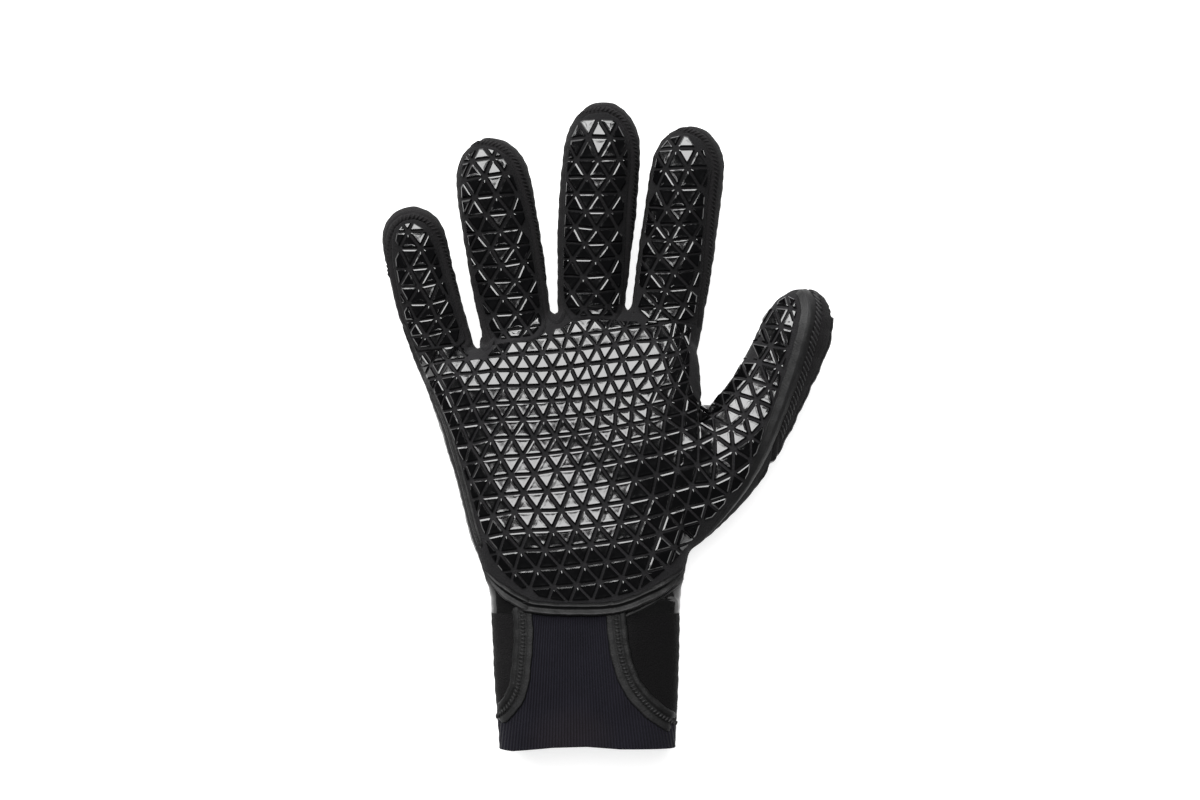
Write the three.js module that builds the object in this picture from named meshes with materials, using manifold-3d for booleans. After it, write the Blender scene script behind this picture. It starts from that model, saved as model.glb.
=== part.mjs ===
// A right-hand neoprene diving glove, lying on its back with the palm up.
// Millimetres. +X runs to the thumb, +Y to the fingertips, +Z up out of the palm.
// Every form is a loft of rounded sections; the panels are cut from hollow lofts,
// and the tapes, seams and grip fields follow the same sections a little further out.
import * as THREE from 'three';
import { mergeVertices } from 'three/addons/utils/BufferGeometryUtils.js';
import Module from 'manifold-3d';

const wasm = await Module();
wasm.setup();

// Hand body, from the wrist seam to the webs of the fingers
const HAND_LENGTH = 122;
const HAND_WIDTH = 118;
const HAND_DEPTH = 44;

// Fingers, each from its root at the palm to its tip
const LITTLE_LENGTH = 61;
const LITTLE_WIDTH = 28;
const RING_LENGTH = 84;
const RING_WIDTH = 32;
const MIDDLE_LENGTH = 89;
const MIDDLE_WIDTH = 33;
const INDEX_LENGTH = 80;
const INDEX_WIDTH = 31.5;
const FINGER_FLATNESS = 0.88;
const FINGER_RISE = 9;

// Thumb, from the ball of the thumb to its tip along the middle line
const THUMB_LENGTH = 125;
const THUMB_WIDTH = 33;
const THUMB_ROLL = 38;

// Cuff, from the wrist seam to the hem edge
const CUFF_LENGTH = 60;
const CUFF_WIDTH = 78;
const CUFF_DEPTH = 44;
const HEM_HEIGHT = 12;

// Neoprene thicknesses, and the gap that separate pieces keep
const HAND_WALL = 4;
const CUFF_WALL = 3;
const CLEARANCE = 0.3;

// Height of the palm to back seam and of the cuff tapes' ends, as shares of the depths
const PALM_SEAM_HEIGHT = 0.62;
const CUFF_TAPE_END = 0.10;

// Grip: rubber triangles on a thin base, with grooves between them
const GRIP_PITCH = 7.9;
const GRIP_GROOVE = 1.7;
const GRIP_HEIGHT = 0.7;
const GRIP_BASE = 0.3;
const GRIP_STANDOFF = 0.9;
const PALM_GRIP_TILT = 9;
const PALM_GRIP_FAN = 7;

// Tapes and welts over the seams
const WRIST_TAPE_WIDTH = 5.8;
const WRIST_TAPE_THICKNESS = 1.6;
const CUFF_TAPE_WIDTH = 7.6;
const CUFF_TAPE_THICKNESS = 1.0;
const SIDE_PIPING_WIDTH = 3;
const SIDE_PIPING_SPAN = [0.06, 0.80];
const THUMB_RIDGE_WIDTH = 5;
const PIPING_THICKNESS = 1.2;

// Facets round one section, outside and in the hollow
const BODY_FACETS = 24;
const BODY_HOLLOW_FACETS = 14;
const STALL_HOLLOW_FACETS = 8;
const STALL_FACETS = { front: 3, left: 2, back: 4, right: 3 };

// Sections of the hand body. at: share of the length. left, right: shares of the hand's
// width. front, back: shares of the depth. cuff: how far the section follows the cuff.
const BODY_ROWS = [
  { at: 0.00, left: -0.330, right: 0.340, front: 1.00, back: -0.04, cuff: 1.0 },
  { at: 0.10, left: -0.366, right: 0.354, front: 1.00, back: -0.04, cuff: 0.4 },
  { at: 0.22, left: -0.400, right: 0.376, front: 0.99, back: -0.04, cuff: 0.0 },
  { at: 0.42, left: -0.450, right: 0.393, front: 0.96, back: -0.04, cuff: 0.0 },
  { at: 0.62, left: -0.515, right: 0.410, front: 0.93, back: -0.04, cuff: 0.0 },
  { at: 0.76, left: -0.566, right: 0.402, front: 0.91, back: -0.04, cuff: 0.0 },
  { at: 0.82, left: -0.545, right: 0.398, front: 0.88, back: -0.02, cuff: 0.0 },
  { at: 0.88, left: -0.345, right: 0.385, front: 0.83, back: 0.03, cuff: 0.0 },
  { at: 0.95, left: -0.200, right: 0.335, front: 0.75, back: 0.10, cuff: 0.0 },
  { at: 1.00, left: -0.075, right: 0.190, front: 0.58, back: 0.28, cuff: 0.0 },
];
const BODY_HOLLOW_AT = [0, 0.30, 0.66, 0.82, 0.92, 1];
const BODY_WAIST = 0.45;
const BODY_SQUARENESS = 2.6;

// Where the front and back panels of a finger or thumb end at its tip, as a share of its length
const TIP_SEAM = 0.94;

// Sections of a finger. at: share of its length, less than 0 inside the hand.
// wide: share of its width.
const FINGER_ROWS = [
  { at: -0.40, wide: 0.80 },
  { at: 0.00, wide: 0.94 },
  { at: 0.35, wide: 1.01 },
  { at: 0.70, wide: 0.99 },
  { at: 0.84, wide: 0.90 },
  { at: TIP_SEAM, wide: 0.67 },
  { at: 1.00, wide: 0.24 },
];
const FINGER_HOLLOW_AT = [-0.40, 0, 0.50, 0.85, 1];

// Sections of the thumb, as a finger's
const THUMB_ROWS = [
  { at: 0.00, wide: 0.75 },
  { at: 0.15, wide: 1.02 },
  { at: 0.32, wide: 1.16 },
  { at: 0.48, wide: 1.13 },
  { at: 0.66, wide: 1.00 },
  { at: 0.84, wide: 0.94 },
  { at: TIP_SEAM, wide: 0.68 },
  { at: 1.00, wide: 0.22 },
];
const THUMB_HOLLOW_AT = [0, 0.15, 0.40, 0.66, 0.88, 1];
const STALL_SQUARENESS = 2.2;

// Sections of the cuff. at: share of its length. wide, shift: shares of its width.
// front, back: shares of its depth.
const CUFF_ROWS = [
  { at: 0.00, wide: 1.000, shift: 0.000, front: 1.00, back: -0.04 },
  { at: 0.50, wide: 0.975, shift: 0.005, front: 0.98, back: -0.04 },
  { at: 0.97, wide: 0.930, shift: 0.010, front: 0.95, back: -0.04 },
  { at: 1.00, wide: 0.905, shift: 0.010, front: 0.91, back: -0.02 },
];

// Seams of a stall, which is a finger or the thumb, in degrees round its section from the
// side that faces the thumb, with the palm side at 90. The thumb's front reaches further.
const FINGER_SEAMS = { front: [52, 145], back: [200, 340] };
const THUMB_SEAMS = { front: [19, 160], back: [200, 337] };

// The grip field of a stall. left, right: shares of its half width, along the surface
const FINGER_GRIP_ROWS = [
  { at: 0.00, left: -1.00, right: 0.68 },
  { at: 0.80, left: -1.00, right: 0.68 },
  { at: 0.94, left: -0.95, right: 0.60 },
];
const THUMB_GRIP_ROWS = [
  { at: 0.00, left: -1.15, right: 1.00 },
  { at: 0.58, left: -1.15, right: 1.00 },
  { at: 0.80, left: -1.10, right: 0.75 },
  { at: 0.94, left: -0.95, right: 0.55 },
];
const STALL_GRIP_END = 0.93;

// Border of the palm's grip field. across: share of the hand's width, along: of its length
const PALM_GRIP_BORDER = [
  { across: -0.300, along: 0.050 },
  { across: -0.350, along: 0.120 },
  { across: -0.400, along: 0.290 },
  { across: -0.456, along: 0.490 },
  { across: -0.508, along: 0.680 },
  { across: -0.540, along: 0.771 },
  { across: -0.494, along: 0.812 },
  { across: -0.350, along: 0.870 },
  { across: -0.160, along: 0.920 },
  { across: -0.090, along: 0.955 },
  { across: 0.121, along: 0.970 },
  { across: 0.350, along: 0.930 },
  { across: 0.374, along: 0.700 },
  { across: 0.420, along: 0.500 },
  { across: 0.400, along: 0.221 },
  { across: 0.300, along: 0.138 },
  { across: 0.093, along: 0.036 },
  { across: -0.195, along: 0.040 },
];

// The wrist seam on the palm side: left end, two corners, right end.
// across: share of the cuff's width, along: share of the hand's length
const WRIST_SEAM = [
  { across: -0.60, along: 0.100 },
  { across: -0.335, along: 0.012 },
  { across: 0.145, along: 0.000 },
  { across: 0.62, along: 0.148 },
];

// The cuff's two seams, from the wrist to the hem. across: share of the cuff's width,
// along: share of the way from the wrist seam to the hem
const CUFF_SEAM_LEFT = [
  { across: -0.320, along: 0.00 },
  { across: -0.320, along: 0.34 },
  { across: -0.330, along: 0.60 },
  { across: -0.367, along: 0.78 },
  { across: -0.415, along: 0.89 },
  { across: -0.600, along: 1.00 },
];
const CUFF_SEAM_RIGHT = [
  { across: 0.155, along: 0.00 },
  { across: 0.166, along: 0.35 },
  { across: 0.208, along: 0.58 },
  { across: 0.266, along: 0.77 },
  { across: 0.340, along: 0.90 },
  { across: 0.600, along: 1.00 },
];

// The five stalls. across, along: the root as shares of the hand's width and length.
// lean, tipLean: degrees from +Y towards +X at the root and at the tip. roll: degrees that
// the section is turned about the middle line. rise: share of the fingers' rise.
const STALLS = [
  {
    name: 'little', length: LITTLE_LENGTH, width: LITTLE_WIDTH, rows: FINGER_ROWS,
    hollowAt: FINGER_HOLLOW_AT, seams: FINGER_SEAMS, gripRows: FINGER_GRIP_ROWS,
    across: -0.503, along: 0.868, lean: -18, tipLean: -5, roll: 0, rise: 0.7,
  },
  {
    name: 'ring', length: RING_LENGTH, width: RING_WIDTH, rows: FINGER_ROWS,
    hollowAt: FINGER_HOLLOW_AT, seams: FINGER_SEAMS, gripRows: FINGER_GRIP_ROWS,
    across: -0.235, along: 0.905, lean: -9.5, tipLean: -8, roll: 0, rise: 1,
  },
  {
    name: 'middle', length: MIDDLE_LENGTH, width: MIDDLE_WIDTH, rows: FINGER_ROWS,
    hollowAt: FINGER_HOLLOW_AT, seams: FINGER_SEAMS, gripRows: FINGER_GRIP_ROWS,
    across: 0.022, along: 0.975, lean: 3, tipLean: 5, roll: 0, rise: 1,
  },
  {
    name: 'index', length: INDEX_LENGTH, width: INDEX_WIDTH, rows: FINGER_ROWS,
    hollowAt: FINGER_HOLLOW_AT, seams: FINGER_SEAMS, gripRows: FINGER_GRIP_ROWS,
    across: 0.290, along: 0.975, lean: 8, tipLean: 8, roll: 0, rise: 0.9,
  },
  {
    name: 'thumb', length: THUMB_LENGTH, width: THUMB_WIDTH, rows: THUMB_ROWS,
    hollowAt: THUMB_HOLLOW_AT, seams: THUMB_SEAMS, gripRows: THUMB_GRIP_ROWS,
    across: 0.232, along: 0.205, lean: 43, tipLean: 14, roll: THUMB_ROLL, rise: 1.2,
  },
];
const STALL_ROOT_HEIGHT = 0.42;

const mix = (a, b, t) => a + (b - a) * t;
const radians = THREE.MathUtils.degToRad;
const signedPower = (x, p) => Math.sign(x) * Math.abs(x) ** p;

// Interpolates every column of a table of rows at a share of the length
function sample(rows, at) {
  let i = 0;
  while (i < rows.length - 2 && at > rows[i + 1].at) i += 1;
  const a = rows[i];
  const b = rows[i + 1];
  const t = THREE.MathUtils.clamp((at - a.at) / (b.at - a.at), 0, 1);
  const row = {};
  for (const key of Object.keys(a)) row[key] = mix(a[key], b[key], t);
  return row;
}

// A station is one section: centre, side and normal directions, half sizes and squareness
function bodyStation(at, grow) {
  const row = sample(BODY_ROWS, at);
  const left = mix(row.left * HAND_WIDTH, -CUFF_WIDTH / 2, row.cuff) - grow;
  const right = mix(row.right * HAND_WIDTH, CUFF_WIDTH / 2, row.cuff) + grow;
  const depth = mix(HAND_DEPTH, CUFF_DEPTH, row.cuff);
  const waist = BODY_WAIST * depth;
  return {
    centre: new THREE.Vector3((left + right) / 2, at * (HAND_LENGTH + grow), waist),
    side: new THREE.Vector3(1, 0, 0),
    normal: new THREE.Vector3(0, 0, 1),
    half: (right - left) / 2,
    front: row.front * depth - waist + grow,
    back: waist - row.back * depth + grow,
    squareness: BODY_SQUARENESS,
    floor: -grow,
  };
}

function cuffStation(at, grow) {
  const row = sample(CUFF_ROWS, at);
  const waist = BODY_WAIST * CUFF_DEPTH;
  return {
    centre: new THREE.Vector3(row.shift * CUFF_WIDTH, -at * CUFF_LENGTH, waist),
    side: new THREE.Vector3(1, 0, 0),
    normal: new THREE.Vector3(0, 0, 1),
    half: row.wide * CUFF_WIDTH / 2 + grow,
    front: row.front * CUFF_DEPTH - waist + grow,
    back: waist - row.back * CUFF_DEPTH + grow,
    squareness: BODY_SQUARENESS,
    floor: -grow,
  };
}

// The middle line of a stall turns from its lean to its tip lean, later than evenly, and
// rises to the tip. It is walked in short steps.
function stallStation(stall, at, grow) {
  const row = sample(stall.rows, at);
  const length = stall.length + grow;
  const steps = 24;
  const centre = new THREE.Vector3(
    stall.across * HAND_WIDTH,
    stall.along * HAND_LENGTH,
    STALL_ROOT_HEIGHT * HAND_DEPTH,
  );
  const direction = new THREE.Vector3();
  for (let k = 0; k <= steps; k += 1) {
    const t = at * k / steps;
    const lean = radians(mix(stall.lean, stall.tipLean, Math.max(t, 0) ** 1.5));
    const climb = 2 * stall.rise * FINGER_RISE * Math.max(t, 0) / stall.length;
    direction.set(Math.sin(lean), Math.cos(lean), climb).normalize();
    if (k < steps) centre.addScaledVector(direction, at * length / steps);
  }
  const side = new THREE.Vector3(direction.y, -direction.x, 0).normalize();
  const normal = new THREE.Vector3().crossVectors(side, direction);
  const roll = radians(stall.roll);
  const half = row.wide * (stall.width / 2 + grow);
  const depth = row.wide * (FINGER_FLATNESS * stall.width / 2 + grow);
  return {
    centre,
    side: side.clone().multiplyScalar(Math.cos(roll)).addScaledVector(normal, Math.sin(roll)),
    normal: normal.clone().multiplyScalar(Math.cos(roll)).addScaledVector(side, -Math.sin(roll)),
    direction,
    half,
    front: depth,
    back: depth,
    squareness: STALL_SQUARENESS,
    floor: -grow,
  };
}

// A point of a station's outline at an angle from its side direction
function outlinePoint(station, angle) {
  const power = 2 / station.squareness;
  const c = Math.cos(angle);
  const s = Math.sin(angle);
  const a = station.half * signedPower(c, power);
  const b = (s > 0 ? station.front : station.back) * signedPower(s, power);
  const point = station.centre.clone().addScaledVector(station.side, a);
  point.addScaledVector(station.normal, b);
  point.z = Math.max(point.z, station.floor);
  return point;
}

// Joins rings of as many points into one closed solid with flat ends
function loft(rings) {
  const count = rings[0].length;
  const positions = [];
  const push = (...points) => points.forEach((p) => positions.push(p.x, p.y, p.z));
  for (let i = 0; i < rings.length - 1; i += 1) {
    for (let k = 0; k < count; k += 1) {
      const n = (k + 1) % count;
      push(rings[i][k], rings[i + 1][k], rings[i][n]);
      push(rings[i][n], rings[i + 1][k], rings[i + 1][n]);
    }
  }
  for (const [ring, flip] of [[rings[0], false], [rings[rings.length - 1], true]]) {
    for (let k = 1; k < count - 1; k += 1) {
      if (flip) push(ring[0], ring[k + 1], ring[k]);
      else push(ring[0], ring[k], ring[k + 1]);
    }
  }
  return solid(positions);
}

// A closed mesh as a solid that can be joined and cut
function solid(positions) {
  const geometry = new THREE.BufferGeometry();
  geometry.setAttribute('position', new THREE.Float32BufferAttribute(positions, 3));
  return fromGeometry(geometry);
}

function fromGeometry(source) {
  let geometry = source.clone();
  geometry.deleteAttribute('normal');
  geometry.deleteAttribute('uv');
  geometry = mergeVertices(geometry, 1e-4);
  const body = new wasm.Manifold(new wasm.Mesh({
    numProp: 3,
    vertProperties: new Float32Array(geometry.attributes.position.array),
    triVerts: new Uint32Array(geometry.index.array),
  }));
  return body;
}

function toGeometry(body) {
  const mesh = body.getMesh();
  const geometry = new THREE.BufferGeometry();
  geometry.setAttribute('position', new THREE.BufferAttribute(mesh.vertProperties, 3));
  geometry.setIndex(new THREE.BufferAttribute(mesh.triVerts, 1));
  return geometry;
}

function ringOf(station, facets) {
  return Array.from({ length: facets }, (_, k) => outlinePoint(station, 2 * Math.PI * k / facets));
}

// The three forms from outside, thicker by grow
function bodySolid(grow) {
  const rings = BODY_ROWS.map((row) => ringOf(bodyStation(row.at, grow), BODY_FACETS));
  rings[0].forEach((p) => { p.y += CLEARANCE / 2 - grow; });
  return loft(rings);
}

function cuffSolid(grow) {
  const rings = CUFF_ROWS.map((row) => ringOf(cuffStation(row.at, grow), BODY_FACETS));
  rings[0].forEach((p) => { p.y += grow - CLEARANCE / 2; });
  return loft(rings.reverse());
}

function stallSolid(stall, grow) {
  const angles = stallAngles(stall);
  return loft(stall.rows.map((row) => {
    const station = stallStation(stall, row.at, grow);
    return angles.map((angle) => outlinePoint(station, angle));
  }));
}

// The angles of a stall's facets, from its first front seam round. A positive gap pulls the
// front and back panels in from the seams, and a negative one the bands between them.
function stallAngles(stall, gap = 0) {
  const pull = gap / stall.width * 2;
  const [a, b] = stall.seams.front.map(radians);
  const [c, d] = stall.seams.back.map(radians);
  const spread = (from, to, facets) => Array.from(
    { length: facets },
    (_, k) => mix(from, to, k / facets),
  );
  const angles = [
    ...spread(a, b, STALL_FACETS.front),
    ...spread(b, c, STALL_FACETS.left),
    ...spread(c, d, STALL_FACETS.back),
    ...spread(d, a + 2 * Math.PI, STALL_FACETS.right),
  ];
  const corners = [0, STALL_FACETS.front];
  corners.push(corners[1] + STALL_FACETS.left, corners[1] + STALL_FACETS.left + STALL_FACETS.back);
  corners.forEach((k, i) => { angles[k] += i % 2 === 0 ? pull : -pull; });
  return angles;
}

// Part of a stall's wall: the cells of its facets that include(row, facet) picks
function stallPanel(stall, ats, gap, include) {
  const angles = stallAngles(stall, gap);
  const count = angles.length;
  const rings = [0, -HAND_WALL].map((grow) => ats.map((at) => {
    const station = stallStation(stall, at, grow);
    return angles.map((angle) => outlinePoint(station, angle));
  }));
  const positions = [];
  const push = (...points) => points.forEach((p) => positions.push(p.x, p.y, p.z));
  const quad = (p, q, r, s) => {
    push(p, q, r);
    push(p, r, s);
  };
  const has = (i, k) => i >= 0 && i < ats.length - 1 && include(i, (k + count) % count);
  const [outer, inner] = rings;
  for (let i = 0; i < ats.length - 1; i += 1) {
    for (let k = 0; k < count; k += 1) {
      const n = (k + 1) % count;
      if (has(i, k)) {
        quad(outer[i][k], outer[i + 1][k], outer[i + 1][n], outer[i][n]);
        quad(inner[i][k], inner[i][n], inner[i + 1][n], inner[i + 1][k]);
        if (!has(i, k - 1)) quad(outer[i][k], inner[i][k], inner[i + 1][k], outer[i + 1][k]);
        if (!has(i, k + 1)) quad(outer[i][n], outer[i + 1][n], inner[i + 1][n], inner[i][n]);
        if (!has(i - 1, k)) quad(outer[i][k], outer[i][n], inner[i][n], inner[i][k]);
        if (!has(i + 1, k) && i < ats.length - 2) {
          quad(outer[i + 1][k], inner[i + 1][k], inner[i + 1][n], outer[i + 1][n]);
        }
      }
    }
  }
  const last = ats.length - 1;
  for (let k = 1; k < count - 1 && has(last - 1, 0); k += 1) {
    push(outer[last][0], outer[last][k + 1], outer[last][k]);
    push(inner[last][0], inner[last][k], inner[last][k + 1]);
  }
  return solid(positions);
}

// Their hollows, a wall inside them. The open ends run on past the wrist seam and the hem.
function bodyHollow() {
  const rings = BODY_HOLLOW_AT.map((at) => ringOf(bodyStation(at, -HAND_WALL), BODY_HOLLOW_FACETS));
  rings[0].forEach((p) => { p.y -= HAND_WALL; });
  return loft(rings);
}

function cuffHollow() {
  const rings = [0, 1].map((at) => ringOf(cuffStation(at, -CUFF_WALL), BODY_HOLLOW_FACETS));
  rings[0].forEach((p) => { p.y += CUFF_WALL; });
  rings[1].forEach((p) => { p.y -= CUFF_WALL; });
  return loft(rings.reverse());
}

function stallHollow(stall) {
  return loft(stall.hollowAt.map(
    (at) => ringOf(stallStation(stall, at, -HAND_WALL), STALL_HOLLOW_FACETS),
  ));
}

// A prism over an outline in the XY plane, from one height to another
function prism(points, low, high) {
  const shape = new THREE.Shape(points);
  const geometry = new THREE.ExtrudeGeometry(shape, { depth: high - low, bevelEnabled: false });
  geometry.translate(0, 0, low);
  return fromGeometry(geometry);
}

// Points of a strip of even width along a smooth line through a few points
function strip(points, width, divisions) {
  const line = new THREE.SplineCurve(points.map(([x, y]) => new THREE.Vector2(x, y)));
  const left = [];
  const right = [];
  for (let k = 0; k <= divisions; k += 1) {
    const p = line.getPoint(k / divisions);
    const t = line.getTangent(k / divisions);
    left.push(new THREE.Vector2(p.x - t.y * width / 2, p.y + t.x * width / 2));
    right.push(new THREE.Vector2(p.x + t.y * width / 2, p.y - t.x * width / 2));
  }
  return [...right, ...left.reverse()];
}

// A rectangle in the XY plane
function rectangle(x0, x1, y0, y1) {
  return [[x0, y0], [x1, y0], [x1, y1], [x0, y1]].map(([x, y]) => new THREE.Vector2(x, y));
}

const GRIP_TOP = GRIP_STANDOFF + GRIP_BASE + GRIP_HEIGHT;
const TALL = 2 * (HAND_DEPTH + CUFF_DEPTH);
const FAR = 2 * (HAND_LENGTH + CUFF_LENGTH);
const CUFF_WAIST = BODY_WAIST * CUFF_DEPTH;
const PALM_SEAM = PALM_SEAM_HEIGHT * HAND_DEPTH;
const HEM_TOP = -(CUFF_LENGTH - HEM_HEIGHT);

// The angle on a station's outline at a distance from where x is 0, for the hand body, or
// from the middle of its palm side
function angleAlong(station, distance) {
  const start = station.direction ? 0 : -station.centre.x / station.half;
  let angle = Math.acos(signedPower(THREE.MathUtils.clamp(start, -1, 1), station.squareness / 2));
  if (distance === 0) return angle;
  const steps = 40;
  const turn = -Math.sign(distance) * Math.PI / 2 / steps;
  let left = Math.abs(distance);
  let from = outlinePoint(station, angle);
  for (let k = 0; k < steps; k += 1) {
    const to = outlinePoint(station, angle + turn);
    const length = from.distanceTo(to);
    if (length >= left) return angle + turn * left / length;
    left -= length;
    angle += turn;
    from = to;
  }
  return angle;
}

// The triangles of a flat lattice that lie in a field, as triples of nodes (u, v). Tiles that
// touch the others only at a corner are left off, so the sheet stays one clean solid.
function latticeTiles(reach, inField) {
  const rowPitch = GRIP_PITCH * Math.sqrt(3) / 2;
  const columns = Math.ceil(reach / GRIP_PITCH);
  const rows = Math.ceil(reach / rowPitch);
  const node = (i, j) => ({
    key: `${i},${j}`,
    u: (i + (Math.abs(j) % 2) / 2) * GRIP_PITCH,
    v: j * rowPitch,
  });
  let tiles = [];
  for (let j = -rows; j < rows; j += 1) {
    for (let i = -columns; i < columns; i += 1) {
      const [a, b] = [node(i, j), node(i + 1, j)];
      const [c, d] = [node(i, j + 1), node(i + 1, j + 1)];
      if (j % 2 === 0) tiles.push([a, b, c], [b, d, c]);
      else tiles.push([a, d, c], [a, b, d]);
    }
  }
  tiles = tiles.filter(inField);
  let loose = true;
  while (loose) {
    const fans = new Map();
    for (const tile of tiles) {
      for (const { key } of tile) fans.set(key, [...(fans.get(key) ?? []), tile]);
    }
    const dropped = new Set();
    for (const fan of fans.values()) {
      const groups = tileGroups(fan).sort((p, q) => q.length - p.length);
      groups.slice(1).flat().forEach((tile) => dropped.add(tile));
    }
    loose = dropped.size > 0;
    tiles = tiles.filter((tile) => !dropped.has(tile));
  }
  return tileGroups(tiles).sort((p, q) => q.length - p.length)[0];
}

// Sorts tiles into groups that are joined by their edges
function tileGroups(tiles) {
  const shared = (p, q) => p.filter((n) => q.some((m) => m.key === n.key)).length;
  const rest = new Set(tiles);
  const groups = [];
  while (rest.size > 0) {
    const next = rest.values().next().value;
    const grouped = [next];
    rest.delete(next);
    for (const tile of grouped) {
      for (const other of rest) {
        if (shared(tile, other) === 2) {
          grouped.push(other);
          rest.delete(other);
        }
      }
    }
    groups.push(grouped);
  }
  return groups;
}

// A grip sheet over a form: stationAt(along, grow) gives the form's sections, and
// place(u, v) turns the lattice onto it as distances across and along. A gap makes the room
// that the sheet needs in what it lies on.
function gripSheet(tiles, stationAt, place, gap = 0) {
  const shrink = 1 - GRIP_GROOVE * Math.sqrt(3) / GRIP_PITCH;
  const point = (u, v, lift) => {
    const [across, along] = place(u, v);
    return outlinePoint(stationAt(along, lift), angleAlong(stationAt(along, 0), across));
  };
  const positions = [];
  const push = (...points) => points.forEach((p) => positions.push(p.x, p.y, p.z));
  const edges = new Map();
  for (const tile of tiles) {
    const u = (tile[0].u + tile[1].u + tile[2].u) / 3;
    const v = (tile[0].v + tile[1].v + tile[2].v) / 3;
    const low = tile.map((n) => point(n.u, n.v, GRIP_STANDOFF + GRIP_BASE));
    const high = tile.map((n) => point(mix(u, n.u, shrink), mix(v, n.v, shrink), GRIP_TOP));
    const under = tile.map((n) => point(n.u, n.v, GRIP_STANDOFF - gap));
    push(...high);
    push(under[0], under[2], under[1]);
    for (let k = 0; k < 3; k += 1) {
      const n = (k + 1) % 3;
      push(low[k], low[n], high[k]);
      push(high[k], low[n], high[n]);
      edges.set(`${tile[k].key} ${tile[n].key}`, [under[k], under[n], low[k], low[n]]);
    }
  }
  for (const [name, [underA, underB, lowA, lowB]] of edges) {
    if (!edges.has(name.split(' ').reverse().join(' '))) {
      push(underA, underB, lowA);
      push(lowA, underB, lowB);
    }
  }
  return solid(positions);
}

const group = new THREE.Group();
function add(name, body, color, roughness, metalness = 0) {
  const material = new THREE.MeshStandardMaterial({ color, roughness, metalness });
  const mesh = new THREE.Mesh(toGeometry(body), material);
  mesh.name = name;
  group.add(mesh);
}

const JERSEY = [0x2b2b2d, 0.85];
const BAND = [0x1e1e1f, 0.8];
const SKIN = [0x0a0a0b, 0.3];
const GRIP = [0x060607, 0.2];
const TAPE = [0x262627, 0.6];
const INSERT = [0x1f1f27, 0.9];

const bodyRoom = bodySolid(CLEARANCE);

// Grip fields
const palmPlace = (u, v) => {
  const up = v - HAND_LENGTH / 2;
  const tilt = radians(PALM_GRIP_TILT - PALM_GRIP_FAN * up / HAND_LENGTH);
  return [
    u * Math.cos(tilt) - up * Math.sin(tilt),
    HAND_LENGTH / 2 + u * Math.sin(tilt) + up * Math.cos(tilt),
  ];
};
const palmStation = (along, grow) => bodyStation(
  THREE.MathUtils.clamp(along / HAND_LENGTH, 0, 1),
  grow,
);
const border = PALM_GRIP_BORDER.map((p) => [p.across * HAND_WIDTH, p.along * HAND_LENGTH]);
function inBorder(x, y) {
  let inside = false;
  border.forEach(([xa, ya], k) => {
    const [xb, yb] = border[(k + 1) % border.length];
    if ((ya > y) !== (yb > y) && x < mix(xa, xb, (y - ya) / (yb - ya))) inside = !inside;
  });
  return inside;
}
// Whether a point lies in a station's outline
function inOutline(station, point) {
  const out = point.clone().sub(station.centre);
  const b = out.dot(station.normal);
  const across = Math.abs(out.dot(station.side) / station.half);
  const up = Math.abs(b / (b > 0 ? station.front : station.back));
  return across ** station.squareness + up ** station.squareness < 1;
}

// Whether a point lies in a stall, or in the hand body, that is thicker by grow
function inStall(stall, point, grow) {
  const steps = 40;
  let nearest = { away: Infinity };
  for (let k = 0; k <= steps; k += 1) {
    const station = stallStation(stall, mix(stall.rows[0].at, 1, k / steps), grow);
    const away = Math.abs(point.clone().sub(station.centre).dot(station.direction));
    if (away < nearest.away) nearest = { away, station };
  }
  return nearest.away < stall.length / steps * 2 && inOutline(nearest.station, point);
}
const inBody = (point, grow) => (
  point.y < HAND_LENGTH + grow && inOutline(palmStation(point.y, grow), point)
);

const tileMargin = CLEARANCE + GRIP_HEIGHT;
const palmTiles = latticeTiles(Math.hypot(HAND_WIDTH, HAND_LENGTH), (corners) => {
  const on = (x, y) => {
    const [across, along] = palmPlace(x, y);
    const angle = angleAlong(palmStation(along, 0), across);
    return outlinePoint(palmStation(along, GRIP_STANDOFF), angle);
  };
  const points = corners.map((n) => on(n.u, n.v));
  return points.every((p) => inBorder(p.x, p.y)
    && !STALLS.some((stall) => inStall(stall, p, tileMargin)));
});
add('grip_palm', gripSheet(palmTiles, palmStation, palmPlace), ...GRIP);
const palmGripRoom = gripSheet(palmTiles, palmStation, palmPlace, CLEARANCE);

for (const stall of STALLS) {
  const stationAt = (along, grow) => stallStation(stall, along / stall.length, grow);
  const { left, right } = stall.gripRows[0];
  const place = (u, v) => [u + (left + right) / 4 * stall.width, v];
  const tiles = latticeTiles(stall.length, (corners) => corners.every((n) => {
    const [across, along] = place(n.u, n.v);
    if (along < 0) return false;
    const row = sample(stall.gripRows, along / stall.length);
    const station = stationAt(along, 0);
    return across > row.left * station.half && across < row.right * station.half
      && along < STALL_GRIP_END * stall.length
      && !inBody(outlinePoint(station, angleAlong(station, across)), GRIP_TOP + tileMargin);
  }));
  add(`grip_${stall.name}`, gripSheet(tiles, stationAt, place), ...GRIP);
  stall.gripRoom = gripSheet(tiles, stationAt, place, CLEARANCE);
}

// The palm region reaches down to the wrist seam and round to the side seams
const wristLine = WRIST_SEAM.map((p) => [p.across * CUFF_WIDTH, p.along * HAND_LENGTH]);
function palmRegion(gap) {
  const corners = wristLine.map(([x, y]) => new THREE.Vector2(x, y - gap));
  corners[0].x = -FAR;
  corners[3].x = FAR;
  corners.push(new THREE.Vector2(FAR, FAR), new THREE.Vector2(-FAR, FAR));
  return prism(corners, PALM_SEAM - gap, TALL);
}
let handShell = bodySolid(0).subtract(bodyHollow());
for (const stall of STALLS) handShell = handShell.subtract(stallHollow(stall));
add('palm_panel', handShell.intersect(palmRegion(0)).subtract(palmGripRoom), ...JERSEY);
add('back_panel', handShell.subtract(palmRegion(CLEARANCE)), ...SKIN);

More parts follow.
